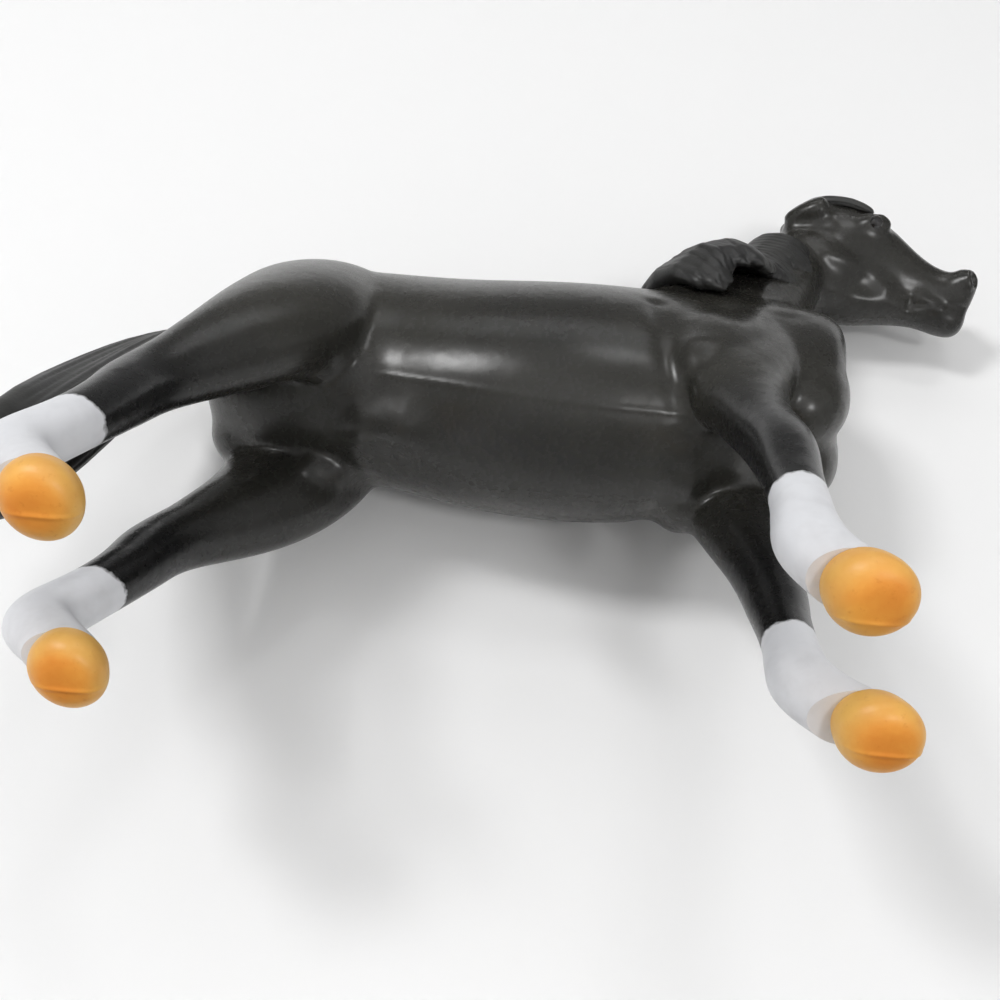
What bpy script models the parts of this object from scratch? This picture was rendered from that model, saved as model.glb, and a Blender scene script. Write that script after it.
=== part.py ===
"""A solid plastic toy horse, standing on its four hooves and leaning its neck to its right.

Metres, +X towards the muzzle, +Y to the horse's left, +Z up. The soles stand on z = 0, and the origin lies
under the middle of the figure's box. The body is first shaped as one skin, as a sculptor would, and is
then parted into the plugged and bonded pieces that the figure is put together from.
"""
import math

import bmesh
import bpy
from mathutils import Matrix, Vector

# Driving dimensions of the whole figure
body_length = 0.100
wither_height = 0.100
barrel_width = 0.0362
cannon_width = 0.0064
neck_width = 0.0119
head_length = 0.0350
head_depth = 0.0192
head_width = 0.0143
ear_length = 0.0098
mane_thickness = 0.0036
forelock_thickness = 0.0026
tail_width = 0.0150
tail_depth = 0.0125

# Where the legs stand: their heights follow the withers, their reach the body and their stance the barrel
elbow_share = 0.552
fore_stance_share = 0.434
hind_stance_share = 0.541
fore_reach_share = 0.346
hind_reach_share = -0.459
right_fore_setback_share = 0.021
fore_sway_share = 0.025
hind_sway_share = 0.039
elbow_height = elbow_share * wither_height
fore_stance = fore_stance_share * barrel_width
hind_stance = hind_stance_share * barrel_width
fore_reach = fore_reach_share * body_length
hind_reach = hind_reach_share * body_length
right_fore_setback = right_fore_setback_share * body_length
fore_sway = fore_sway_share * barrel_width
hind_sway = hind_sway_share * barrel_width

# Coat zones and hooves
sock_height = 0.0217
hoof_height = 0.0046
hoof_width = 0.0086
core_width = 0.0030

# Joints between the pieces
seam = 0.0003
plug_length = 0.0070
plug_root = 0.0035
leg_plug_width = 0.0050
leg_plug_depth = 0.0036
neck_plug_width = 0.0090
neck_plug_depth = 0.0130
tail_plug_width = 0.0032
tail_plug_root = 0.0022
plug_rounding = 0.0006
eye_radius = 0.0014

# Skin of the body
skin_voxel = 0.00085
skin_smoothing = 12
skin_smoothing_share = 0.5
skin_faces_share = 0.090
hair_voxel = 0.0006
hair_smoothing = 4
mane_faces_share = 0.050
tail_faces_share = 0.048
forelock_faces_share = 0.10
cutter_reach = 0.12
torso_cutter_reach = 0.24
crease_angle = 40

for leftover in list(bpy.data.objects):
    bpy.data.objects.remove(leftover, do_unlink=True)


def scene_collection(name):
    """A new collection under the scene."""
    collection = bpy.data.collections.new(name)
    bpy.context.scene.collection.children.link(collection)
    return collection


figure = scene_collection("toy_horse")
cutters = scene_collection("cutters")


# Materials

def plastic(name, colour, roughness, coat=0.0):
    """A Principled plastic."""
    material = bpy.data.materials.new(name)
    material.use_nodes = True
    shader = material.node_tree.nodes["Principled BSDF"]
    shader.inputs["Base Color"].default_value = (*colour, 1.0)
    shader.inputs["Roughness"].default_value = roughness
    shader.inputs["Metallic"].default_value = 0.0
    shader.inputs["Coat Weight"].default_value = coat
    material.diffuse_color = (*colour, 1.0)
    return material


black_body = plastic("black_body", (0.022, 0.023, 0.025), 0.36)
black_hair = plastic("black_hair", (0.016, 0.016, 0.018), 0.48)
white_sock = plastic("white_sock", (0.86, 0.87, 0.89), 0.5)
tan_hoof = plastic("tan_hoof", (0.78, 0.36, 0.10), 0.45)
gloss_eye = plastic("gloss_eye", (0.008, 0.008, 0.008), 0.12, 0.6)


# Objects and meshes

def new_object(name, mesh, collection):
    """An object that holds the mesh."""
    thing = bpy.data.objects.new(name, mesh)
    collection.objects.link(thing)
    if collection is cutters:
        thing.hide_render = True
        thing.display_type = "WIRE"
    return thing


def mesh_from(bm, name):
    """A mesh with its faces pointing out."""
    bmesh.ops.recalc_face_normals(bm, faces=bm.faces)
    mesh = bpy.data.meshes.new(name)
    bm.to_mesh(mesh)
    bm.free()
    return mesh


def baked(thing):
    """The object's evaluated mesh, in world space."""
    bpy.context.view_layer.update()
    evaluated = thing.evaluated_get(bpy.context.evaluated_depsgraph_get())
    mesh = bpy.data.meshes.new_from_object(evaluated)
    mesh.transform(thing.matrix_world)
    return mesh


def combine(thing, tool, operation):
    """A Boolean of the object with a cutter or a filler."""
    step = thing.modifiers.new(f"{operation.lower()}_{tool.name}", "BOOLEAN")
    step.operation = operation
    step.solver = "EXACT"
    step.object = tool


def settle(thing, material):
    """Bakes the object's modifiers, shades it smooth and gives it its material."""
    mesh = baked(thing)
    old = thing.data
    thing.modifiers.clear()
    thing.matrix_world = Matrix.Identity(4)
    thing.data = mesh
    bpy.data.meshes.remove(old)
    mesh.materials.clear()
    mesh.materials.append(material)
    mesh.shade_smooth()
    mesh.set_sharp_from_angle(angle=math.radians(crease_angle))


# Lofts through oval sections

def section_ring(centre, side_axis, front_axis, side, front, back, square, count):
    """Points round one section: an oval whose front and back halves can differ."""
    points = []
    for step in range(count):
        angle = math.tau * step / count
        across = math.cos(angle)
        along = math.sin(angle)
        across = math.copysign(abs(across) ** (2 / square), across)
        along = math.copysign(abs(along) ** (2 / square), along)
        reach = front if along > 0 else back
        points.append(centre + side_axis * side * across + front_axis * reach * along)
    return points


def closed_rows(bm, rows):
    """Faces between the rows of points, with a cap at each end."""
    rows = [[bm.verts.new(point) for point in row] for row in rows]
    for row, following in zip(rows, rows[1:]):
        for step in range(len(row)):
            after = (step + 1) % len(row)
            bm.faces.new((row[step], row[after], following[after], following[step]))
    bm.faces.new(rows[0])
    bm.faces.new(rows[-1])


def loft(name, stations, front_hint, square=2.0, count=16, rolls=None, levels=2):
    """A closed skin through oval sections.

    A station is its centre and its half sizes: to each side, to the front and to the back.
    """
    rows = []
    centres = [Vector(station[0]) for station in stations]
    for index, (centre, side, front, back) in enumerate(stations):
        before = centres[max(index - 1, 0)]
        after = centres[min(index + 1, len(centres) - 1)]
        tangent = (after - before).normalized()
        hint = Vector(front_hint)
        if rolls:
            hint = Matrix.Rotation(rolls[index], 3, "X") @ hint
        side_axis = tangent.cross(hint).normalized()
        front_axis = side_axis.cross(tangent).normalized()
        rows.append(section_ring(Vector(centre), side_axis, front_axis, side, front, back, square, count))
    bm = bmesh.new()
    closed_rows(bm, rows)
    form = new_object(name, mesh_from(bm, name), cutters)
    if levels:
        rounding = form.modifiers.new("rounding", "SUBSURF")
        rounding.levels = levels
        rounding.render_levels = levels
    return form


def oval(name, centre, half_sizes, pitch=0.0, count=24):
    """An oval form, used as a swelling under the skin or as an eye."""
    bm = bmesh.new()
    placing = Matrix.Translation(centre) @ Matrix.Rotation(pitch, 4, "Y") @ Matrix.Diagonal((*half_sizes, 1.0))
    bmesh.ops.create_uvsphere(bm, u_segments=count, v_segments=count // 2, radius=1.0, matrix=placing)
    return new_object(name, mesh_from(bm, name), cutters)


def skin_over(name, forms, voxel, smoothing, faces_share, collection):
    """One smooth skin over the forms, which are used up."""
    bm = bmesh.new()
    for form in forms:
        mesh = baked(form)
        bm.from_mesh(mesh)
        bpy.data.meshes.remove(mesh)
        bpy.data.objects.remove(form, do_unlink=True)
    rough = new_object(f"rough_{name}", mesh_from(bm, name), cutters)
    remesh = rough.modifiers.new("skin", "REMESH")
    remesh.mode = "VOXEL"
    remesh.voxel_size = voxel
    smooth = rough.modifiers.new("smooth", "SMOOTH")
    smooth.factor = skin_smoothing_share
    smooth.iterations = smoothing
    coarse = rough.modifiers.new("coarse", "DECIMATE")
    coarse.ratio = faces_share
    mesh = baked(rough)
    bpy.data.objects.remove(rough, do_unlink=True)
    return new_object(name, mesh, collection)


def swollen(thing, by):
    """A cutter that is larger all over than the object, for a clearance round it."""
    mesh = baked(thing)
    swell = [vertex.normal * by for vertex in mesh.vertices]
    for vertex, move in zip(mesh.vertices, swell):
        vertex.co += move
    return new_object(f"clearance_{thing.name}", mesh, cutters)


# Torso: a row is a place along the body, the top, the bottom, the half width and the sway to the left
torso_squareness = 2.15
torso_shares = (
    (-0.500, 0.830, 0.700, 0.16, 0.010),
    (-0.475, 0.890, 0.640, 0.34, 0.010),
    (-0.420, 0.930, 0.590, 0.43, 0.010),
    (-0.330, 0.955, 0.565, 0.465, 0.010),
    (-0.220, 0.958, 0.555, 0.460, 0.010),
    (-0.120, 0.940, 0.530, 0.470, 0.010),
    (-0.020, 0.920, 0.500, 0.495, 0.008),
    (0.080, 0.916, 0.488, 0.505, 0.006),
    (0.170, 0.930, 0.490, 0.490, 0.004),
    (0.250, 0.970, 0.500, 0.45, 0.000),
    (0.330, 0.985, 0.515, 0.43, -0.004),
    (0.395, 0.930, 0.530, 0.42, -0.006),
    (0.455, 0.885, 0.550, 0.41, -0.006),
    (0.494, 0.835, 0.585, 0.33, -0.006),
)


def torso_form():
    """The barrel, from buttock to breast."""
    stations = []
    for along, top, bottom, half, sway in torso_shares:
        centre = (along * body_length, sway * body_length, (top + bottom) / 2 * wither_height)
        reach = (top - bottom) / 2 * wither_height
        stations.append((centre, half * barrel_width, reach, reach))
    return loft("barrel", stations, (0, 0, 1), square=torso_squareness, count=20)


# Muscles that stand out of the barrel: centre, half sizes and pitch in degrees
# Shares follow the body's length along, the barrel's width across and the withers' height up

muscle_shares = {
    "shoulder_blade": ((0.292, 0.20, 0.775), (0.120, 0.252, 0.185), -22),
    "triceps": ((0.270, 0.235, 0.650), (0.105, 0.215, 0.145), -20),
    "breast": ((0.386, 0.13, 0.705), (0.098, 0.250, 0.165), -12),
    "haunch": ((-0.310, 0.19, 0.790), (0.145, 0.260, 0.140), 12),
    "buttock": ((-0.405, 0.21, 0.735), (0.085, 0.215, 0.130), 12),
    "stifle": ((-0.285, 0.27, 0.620), (0.085, 0.185, 0.105), 28),
}
sheath_shares = ((-0.185, -0.05, 0.538), (0.052, 0.095, 0.034), 12)


def body_oval(name, shares, sign, sway):
    """An oval of the body, placed by its shares."""
    place, half, pitch = shares
    across = sign * place[1] * barrel_width + sway
    centre = (place[0] * body_length, across, place[2] * wither_height)
    sizes = (half[0] * body_length, half[1] * barrel_width, half[2] * wither_height)
    return oval(name, centre, sizes, math.radians(pitch))


def muscle_forms():
    """The muscles on both sides, and the sheath under the belly."""
    forms = [body_oval("sheath", sheath_shares, 1, hind_sway)]
    for name, shares in muscle_shares.items():
        sway = hind_sway if shares[0][0] < 0 else 0
        for side, sign in (("right", -1), ("left", 1)):
            forms.append(body_oval(f"{side}_{name}", shares, sign, sway))
    return forms


# Neck: centre along, across and up, half width, half depth to the crest and to the throat, roll in degrees
neck_squareness = 2.1
neck_back = (-0.6, 0, 0.8)
neck_shares = (
    (0.235, -0.010, 0.790, 1.28, 1.50, 1.50, 0),
    (0.320, -0.035, 0.860, 1.22, 1.32, 1.45, 10),
    (0.385, -0.069, 0.938, 0.92, 1.06, 0.76, 22),
    (0.433, -0.101, 1.019, 0.72, 0.86, 0.56, 34),
    (0.465, -0.131, 1.100, 0.56, 0.68, 0.52, 46),
    (0.488, -0.160, 1.154, 0.46, 0.52, 0.48, 56),
)


def neck_form():
    """The neck, leaning over to the right."""
    stations = []
    rolls = []
    for along, across, up, half, crest, throat, roll in neck_shares:
        centre = (along * body_length, across * body_length, up * wither_height)
        stations.append((centre, half * neck_width, crest * neck_width, throat * neck_width))
        rolls.append(math.radians(roll))
    return loft("neck", stations, neck_back, square=neck_squareness, rolls=rolls)


# Head, along its own +X from poll to muzzle, with +Z to the forehead
# A row is a place along, the top, the bottom and the half width
skull_squareness = 2.3
jaw_squareness = 2.6
skull_shares = (
    (-0.05, 0.16, -0.24, 0.24),
    (0.04, 0.36, -0.40, 0.36),
    (0.16, 0.48, -0.42, 0.43),
    (0.30, 0.50, -0.36, 0.48),
    (0.44, 0.42, -0.34, 0.42),
    (0.58, 0.26, -0.32, 0.34),
    (0.72, 0.14, -0.30, 0.29),
    (0.84, 0.11, -0.30, 0.33),
    (0.92, 0.12, -0.30, 0.35),
    (0.98, 0.04, -0.24, 0.28),
)
jaw_shares = (
    (0.00, -0.10, -0.50, 0.28),
    (0.12, -0.05, -0.64, 0.38),
    (0.30, -0.05, -0.68, 0.39),
    (0.45, -0.08, -0.60, 0.34),
    (0.62, -0.10, -0.50, 0.27),
    (0.76, -0.12, -0.46, 0.24),
    (0.88, -0.15, -0.50, 0.26),
    (0.98, -0.18, -0.47, 0.21),
)
# Centre and half sizes of the ovals on each side of the head, in shares of its length, width and depth
head_oval_shares = {
    "jowl": ((0.20, 0.28, -0.24), (0.22, 0.22, 0.40)),
    "brow": ((0.38, 0.38, 0.27), (0.090, 0.125, 0.110)),
    "nostril": ((0.90, 0.25, 0.00), (0.075, 0.145, 0.15)),
}
head_place_shares = (0.460, -0.176, 1.151)
head_pitch = 10.5
head_yaw = 9.5
head_roll = 58


def head_frame():
    """Where the head sits: its poll, and its turn on the neck."""
    along, across, up = head_place_shares
    place = Vector((along * body_length, across * body_length, up * wither_height))
    turn = Matrix.Rotation(math.radians(head_yaw), 4, "Z")
    turn = turn @ Matrix.Rotation(math.radians(head_pitch), 4, "Y")
    turn = turn @ Matrix.Rotation(math.radians(head_roll), 4, "X")
    return Matrix.Translation(place) @ turn


def in_head(shares, sign=1):
    """A place in the head's own frame, from its shares."""
    return Vector((shares[0] * head_length, sign * shares[1] * head_width, shares[2] * head_depth))


def head_loft(name, shares, square):
    """One form of the head, through rows of shares."""
    stations = []
    for along, top, bottom, half in shares:
        middle = (top + bottom) / 2 * head_depth
        reach = (top - bottom) / 2 * head_depth
        stations.append(((along * head_length, 0, middle), half * head_width, reach, reach))
    form = loft(name, stations, (0, 0, 1), square=square)
    form.matrix_world = head_frame()
    return form


# Ear: a row is a place along it, its half width and its half thickness
ear_shares = (
    (0.00, 0.30, 0.24),
    (0.26, 0.33, 0.25),
    (0.55, 0.28, 0.19),
    (0.82, 0.16, 0.11),
    (1.00, 0.05, 0.05),
)
ear_root_shares = (0.15, 0.30, 0.37)
ear_splay = 24
ear_set_back = 116


def ear_form(side, sign):
    """One ear, from its root beside the poll, laid back along the neck."""
    stations = []
    for along, half, deep in ear_shares:
        stations.append(((0, 0, along * ear_length), half * ear_length, deep * ear_length, deep * ear_length))
    form = loft(f"{side}_ear", stations, (1, 0, 0), count=10)
    root = Matrix.Translation(in_head(ear_root_shares, sign))
    lean = Matrix.Rotation(math.radians(-sign * ear_splay), 4, "X")
    lean = lean @ Matrix.Rotation(math.radians(-ear_set_back), 4, "Y")
    form.matrix_world = head_frame() @ root @ lean
    return form


def head_forms():
    """The skull, the jaw, the jowls, the brows, the nostrils and the ears."""
    forms = [
        head_loft("skull", skull_shares, skull_squareness),
        head_loft("jaw", jaw_shares, jaw_squareness),
    ]
    for side, sign in (("right", -1), ("left", 1)):
        for name, (place, half) in head_oval_shares.items():
            form = oval(f"{side}_{name}", in_head(place, sign), in_head(half))
            form.matrix_world = head_frame()
            forms.append(form)
        forms.append(ear_form(side, sign))
    return forms


# Legs: height, place in front of the cannon, half width, half depth to the front and to the back
# Heights are shares of the elbow's height, the rest are shares of the cannon's width

fore_leg_shares = (
    (0.000, 0.04, 0.62, 0.66, 0.64),
    (0.070, 0.02, 0.60, 0.64, 0.62),
    (0.130, -0.10, 0.56, 0.56, 0.70),
    (0.195, -0.12, 0.59, 0.57, 0.76),
    (0.250, -0.05, 0.57, 0.55, 0.62),
    (0.340, 0.00, 0.53, 0.53, 0.54),
    (0.440, 0.00, 0.55, 0.55, 0.55),
    (0.530, 0.00, 0.68, 0.70, 0.62),
    (0.610, -0.02, 0.71, 0.73, 0.64),
    (0.720, -0.15, 0.68, 0.70, 0.70),
    (0.860, -0.32, 0.80, 0.92, 0.90),
    (1.000, -0.30, 0.88, 1.15, 1.12),
    (1.150, 0.00, 0.90, 1.40, 1.35),
    (1.320, 0.15, 0.84, 1.50, 1.40),
    (1.500, -0.30, 0.70, 1.30, 1.25),
    (1.660, -0.90, 0.42, 0.90, 0.90),
)
hind_leg_shares = (
    (0.000, 0.06, 0.60, 0.64, 0.62),
    (0.070, 0.00, 0.58, 0.63, 0.60),
    (0.140, -0.30, 0.52, 0.55, 0.60),
    (0.210, -0.74, 0.60, 0.60, 0.80),
    (0.260, -0.70, 0.58, 0.58, 0.74),
    (0.360, -0.40, 0.55, 0.57, 0.60),
    (0.500, -0.12, 0.59, 0.61, 0.66),
    (0.600, -0.08, 0.68, 0.69, 0.84),
    (0.680, 0.02, 0.68, 0.72, 0.82),
    (0.780, 0.42, 0.80, 0.88, 0.94),
    (0.900, 1.00, 1.00, 1.25, 1.25),
    (1.020, 1.55, 1.10, 1.65, 1.70),
    (1.180, 2.00, 1.10, 1.95, 2.00),
    (1.360, 2.15, 1.02, 1.95, 2.10),
    (1.540, 2.20, 0.75, 1.55, 1.70),
)

# How far a leg leans out from its stance, row by row, in shares of the cannon's width
fore_spread_shares = (
    0.00, 0.00, 0.05, 0.10, 0.14, 0.20, 0.26, 0.28, 0.28, 0.24, 0.24, 0.36, 0.52, 0.58, 0.50, 0.30)
right_hind_spread_shares = (
    0.00, 0.00, 0.00, 0.00, 0.00, 0.00, 0.00, -0.04, -0.06, 0.00, 0.12, 0.24, 0.30, 0.30, 0.20)
left_hind_spread_shares = (
    0.00, 0.00, 0.08, 0.18, 0.24, 0.32, 0.44, 0.56, 0.64, 0.72, 0.80, 0.78, 0.62, 0.50, 0.40)

# Side, rows, lean, place of the cannon, stance, sway and how far the hoof stands before the cannon
leg_plan = {
    "right_fore": (
        -1, fore_leg_shares, fore_spread_shares, fore_reach - right_fore_setback, fore_stance, fore_sway, 0.62),
    "left_fore": (1, fore_leg_shares, fore_spread_shares, fore_reach, fore_stance, fore_sway, 0.91),
    "right_hind": (-1, hind_leg_shares, right_hind_spread_shares, hind_reach, hind_stance, 0, 0.50),
    "left_hind": (1, hind_leg_shares, left_hind_spread_shares, hind_reach, hind_stance, 0, 0.54),
}
pastern_share = 0.23
sole_rise_share = 0.55


def leg_centre(name, index):
    """The middle of one row of a leg."""
    sign, shares, spreads, reach, stance, sway, lead = leg_plan[name]
    up, ahead = shares[index][:2]
    slope = lead * max(0, 1 - up / pastern_share)
    across = sign * (stance / 2 + spreads[index] * cannon_width) + sway
    height = max(up * elbow_height, sole_rise_share * hoof_height)
    return Vector((reach + (ahead + slope) * cannon_width, across, height))


def leg_form(name):
    """One leg, from the hoof's top into the body."""
    shares = leg_plan[name][1]
    stations = []
    for index, (up, ahead, half, front, back) in enumerate(shares):
        sizes = (half * cannon_width, front * cannon_width, back * cannon_width)
        stations.append((leg_centre(name, index), *sizes))
    return loft(f"{name}_form", stations, (1, 0, 0), count=12)


body_forms = [torso_form(), neck_form()]
body_forms += muscle_forms()
body_forms += head_forms()
body_forms += [leg_form(name) for name in leg_plan]
skin = skin_over("skin", body_forms, skin_voxel, skin_smoothing, skin_faces_share, cutters)


# Parting planes: a point on the plane and its normal, which points away from the torso

def side_point(along, up):
    """A point of the middle plane, from its shares of length and height."""
    return Vector((along * body_length, 0, up * wither_height))


def plane_through(first, second, towards):
    """The plane that stands on the line between two points of the middle plane."""
    line = (second - first).normalized()
    normal = line.cross(Vector((0, 1, 0))).normalized()
    if normal.dot(towards) < 0:
        normal.negate()
    return first, normal


# Two points of each parting plane, along and up, and the neck's point and direction
fore_parting_shares = ((0.240, 0.468), (0.440, 0.530))
hind_parting_shares = ((-0.240, 0.492), (-0.500, 0.585))
neck_point_shares = (0.330, 0.985)
neck_direction = (0.71, -0.22, 0.67)
down = Vector((0, 0, -1))
fore_parting = plane_through(*[side_point(*shares) for shares in fore_parting_shares], down)
hind_parting = plane_through(*[side_point(*shares) for shares in hind_parting_shares], down)
neck_point = side_point(*neck_point_shares)
neck_normal = Vector(neck_direction).normalized()


def block(name, low, high):
    """A box cutter between two corners."""
    bm = bmesh.new()
    low, high = Vector(low), Vector(high)
    placing = Matrix.Translation((low + high) / 2) @ Matrix.Diagonal((*(high - low), 1.0))
    bmesh.ops.create_cube(bm, size=1.0, matrix=placing)
    return new_object(name, mesh_from(bm, name), cutters)


def beyond(name, plane, gap, half_reach, depth):
    """A box cutter that fills what lies past a plane, less a gap."""
    point, normal = plane
    form = block(name, (-half_reach, -half_reach, 0), (half_reach, half_reach, depth))
    turn = normal.to_track_quat("Z", "Y").to_matrix().to_4x4()
    form.matrix_world = Matrix.Translation(point + normal * gap) @ turn
    return form


def plug(name, place, along, width, depth, root, grow=0.0):
    """A keyed plug with rounded edges, rooted in its own piece and reaching into the one that holds it."""
    length = plug_length + grow
    half_width = width / 2 + grow
    half_depth = depth / 2 + grow
    form = block(name, (-half_depth, -half_width, -root), (half_depth, half_width, length))
    turn = along.to_track_quat("Z", "Y").to_matrix().to_4x4()
    form.matrix_world = Matrix.Translation(place) @ turn
    rounding = form.modifiers.new("rounding", "BEVEL")
    rounding.width = plug_rounding
    rounding.segments = 1
    return form


# Legs, socks and hooves

hoof_ring_count = 18
round_share = 2.0
hoof_profile_shares = ((0.64, 0.0), (0.86, 0.12), (1.0, 0.42), (0.97, 0.72), (0.88, 1.0))
hoof_slope_share = 0.12
core_seat_share = 0.40
leg_space_share = 0.33


def leg_core(name, grow):
    """The rod of body plastic that runs down inside the sock into the hoof."""
    shares = leg_plan[name][1]
    radius = core_width / 2 + grow
    foot = leg_centre(name, 0)
    foot.z = core_seat_share * hoof_height - grow
    stations = [(foot, radius, radius, radius)]
    centres = [leg_centre(name, index) for index in range(len(shares))]
    in_sock = [centre for centre in centres if hoof_height < centre.z < sock_height]
    above = [centre for centre in centres if centre.z > sock_height + core_width]
    for centre in [*in_sock, above[0]]:
        stations.append((centre, radius, radius, radius))
    return loft(f"{name}_core", stations, (1, 0, 0), count=8, levels=0)


def leg_box(name, low, high):
    """The space round one leg between two heights."""
    sign = leg_plan[name][0]
    middle = leg_plan[name][3]
    sides = sorted((0, sign * cutter_reach))
    half = body_length * leg_space_share
    return block(f"{name}_space", (middle - half, sides[0], low), (middle + half, sides[1], high))


def plug_seat(name, plane):
    """Where the leg's axis meets its parting plane."""
    point, normal = plane
    shares = leg_plan[name][1]
    for index in range(len(shares) - 1):
        low = leg_centre(name, index)
        high = leg_centre(name, index + 1)
        before = (low - point).dot(normal)
        after = (high - point).dot(normal)
        if before > 0 >= after:
            return low.lerp(high, before / (before - after))
    return leg_centre(name, len(shares) - 1)


def build_leg(name, plane, torso):
    """The black leg with its plug and core, and the socket for it in the torso."""
    leg = new_object(f"{name}_leg", skin.data.copy(), figure)
    combine(leg, leg_box(name, sock_height + seam / 2, cutter_reach), "INTERSECT")
    combine(leg, beyond(f"{name}_below", plane, seam / 2, cutter_reach, cutter_reach), "INTERSECT")
    seat = plug_seat(name, plane)
    key = (seat, -plane[1], leg_plug_width, leg_plug_depth, plug_root)
    combine(leg, plug(f"{name}_plug", *key), "UNION")
    combine(leg, leg_core(name, 0.0), "UNION")
    combine(torso, plug(f"{name}_socket", *key, grow=seam), "DIFFERENCE")
    settle(leg, black_body)


def build_sock(name):
    """The white sock round the core, from the hair line to its top edge."""
    sock = new_object(f"{name}_sock", skin.data.copy(), figure)
    combine(sock, leg_box(name, hoof_height + seam / 2, sock_height - seam / 2), "INTERSECT")
    combine(sock, leg_core(name, seam), "DIFFERENCE")
    settle(sock, white_sock)


def build_hoof(name):
    """One hoof on the core's end: a flat sole with a rounded edge, drawn in to the hair line."""
    foot = leg_centre(name, 0)
    side_axis = Vector((0, 1, 0))
    front_axis = Vector((1, 0, 0))
    rows = []
    for wide, up in hoof_profile_shares:
        slope = hoof_slope_share * hoof_width * up
        centre = Vector((foot.x - slope, foot.y, up * (hoof_height - seam / 2)))
        half = wide * hoof_width / 2
        rows.append(section_ring(centre, side_axis, front_axis, half, half, half, round_share, hoof_ring_count))
    bm = bmesh.new()
    closed_rows(bm, rows)
    hoof = new_object(f"{name}_hoof", mesh_from(bm, name), figure)
    combine(hoof, leg_core(name, seam), "DIFFERENCE")
    settle(hoof, tan_hoof)


# Hair: locks of mane, forelock and tail, each a tapering strand through a few points
lock_front = (0.2, -1, 0.3)


def lock(name, points, widths):
    """One moulded lock of hair, from its root to its tip."""
    stations = []
    for point, (half, thick) in zip(points, widths):
        stations.append((point, half, thick, thick))
    return loft(name, stations, lock_front, count=8, levels=1)


mane_start_share = 0.22
mane_end_share = 0.97
# How far each lock stands off the neck, from withers to poll, in shares of the mane's thickness
mane_stand_shares = (0.35, 0.85, 1.35, 1.50, 0.80, 0.15, -0.05, -0.15, -0.15, -0.15, -0.15)


# Where a lock runs: its root on the crest, over the crest's right edge, down the side, to its tip
mane_root_share = 0.86
mane_parting_share = 0.10
mane_shoulder_share = 0.55
mane_middle_share = 0.34
mane_drop_share = 0.18
mane_lean_share = 0.12
mane_tip_lean_share = 0.36
mane_wave_share = 0.12
mane_wave_turn = 2.4
# Half width and half thickness of a lock at those four places
mane_lock_shares = ((0.86, 0.56), (0.92, 0.60), (0.86, 0.54), (0.30, 0.26))


def crest_point(along):
    """A point on the neck's line, with the neck's half sizes and its own directions there."""
    place = along * (len(neck_shares) - 2)
    index = min(int(place), len(neck_shares) - 2)
    share = place - index
    rows = []
    for row in neck_shares[index:index + 2]:
        centre = Vector((row[0] * body_length, row[1] * body_length, row[2] * wither_height))
        rows.append((centre, row[3] * neck_width, row[4] * neck_width, math.radians(row[6])))
    centre = rows[0][0].lerp(rows[1][0], share)
    half = rows[0][1] + (rows[1][1] - rows[0][1]) * share
    crest = rows[0][2] + (rows[1][2] - rows[0][2]) * share
    roll = rows[0][3] + (rows[1][3] - rows[0][3]) * share
    line = (rows[1][0] - rows[0][0]).normalized()
    hint = Matrix.Rotation(roll, 3, "X") @ Vector(neck_back)
    right = -line.cross(hint).normalized()
    if right.y > 0:
        right.negate()
    back = right.cross(line)
    if back.z < 0:
        back.negate()
    return centre, half, crest, right, back, line


def mane_forms():
    """Locks that start on the crest and fall over the neck's right side."""
    forms = []
    for index, stand in enumerate(mane_stand_shares):
        run = mane_end_share - mane_start_share
        along = mane_start_share + run * index / (len(mane_stand_shares) - 1)
        centre, half, crest, right, back, line = crest_point(along)
        drop = mane_drop_share + mane_wave_share * math.sin(mane_wave_turn * index)
        out = right * (half + stand * mane_thickness)
        root = centre + back * crest * mane_root_share - right * half * mane_parting_share
        shoulder = centre + back * crest * mane_root_share + out * mane_shoulder_share
        middle = centre + back * crest * mane_middle_share + out - line * half * mane_lean_share
        tip = centre - back * crest * drop + out - line * half * mane_tip_lean_share
        widths = [(wide * mane_thickness, thick * mane_thickness) for wide, thick in mane_lock_shares]
        forms.append(lock(f"mane_lock_{index}", (root, shoulder, middle, tip), widths))
    return forms


# Forelock: a row is a place on the head, and how far the outer locks fan out there
forelock_shares = (
    (0.02, 0.00, 0.38, 0.07),
    (0.13, -0.03, 0.47, 0.11),
    (0.25, -0.06, 0.49, 0.14),
    (0.36, -0.08, 0.43, 0.16),
)
forelock_lock_shares = ((0.62, 0.45), (0.66, 0.46), (0.54, 0.38), (0.20, 0.18))
forelock_sides = (-1, 0, 1)


def forelock_forms():
    """Three short locks that fall from the poll over the forehead."""
    forms = []
    for side in forelock_sides:
        points = []
        for along, across, up, fan in forelock_shares:
            points.append(head_frame() @ in_head((along, across + side * fan, up)))
        widths = [(wide * forelock_thickness, thick * forelock_thickness) for wide, thick in forelock_lock_shares]
        forms.append(lock(f"forelock_lock_{side}", points, widths))
    return forms


# Tail: a row is its centre along, across and up, and its spread across and in depth
tail_shares = (
    (-0.430, 0.008, 0.868, 0.17, 0.22),
    (-0.490, 0.008, 0.880, 0.21, 0.24),
    (-0.548, 0.004, 0.850, 0.27, 0.28),
    (-0.590, 0.002, 0.760, 0.31, 0.34),
    (-0.608, 0.002, 0.640, 0.39, 0.38),
    (-0.615, 0.000, 0.500, 0.47, 0.40),
    (-0.616, -0.006, 0.370, 0.53, 0.38),
    (-0.612, -0.012, 0.250, 0.50, 0.31),
    (-0.606, -0.014, 0.150, 0.18, 0.16),
)
tail_front = (-1, 0, 0.01)
tail_lock_count = 7
tail_core_share = 0.88
tail_lock_place_share = 0.70
tail_lock_size_share = 0.34
tail_twist = 0.16

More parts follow.
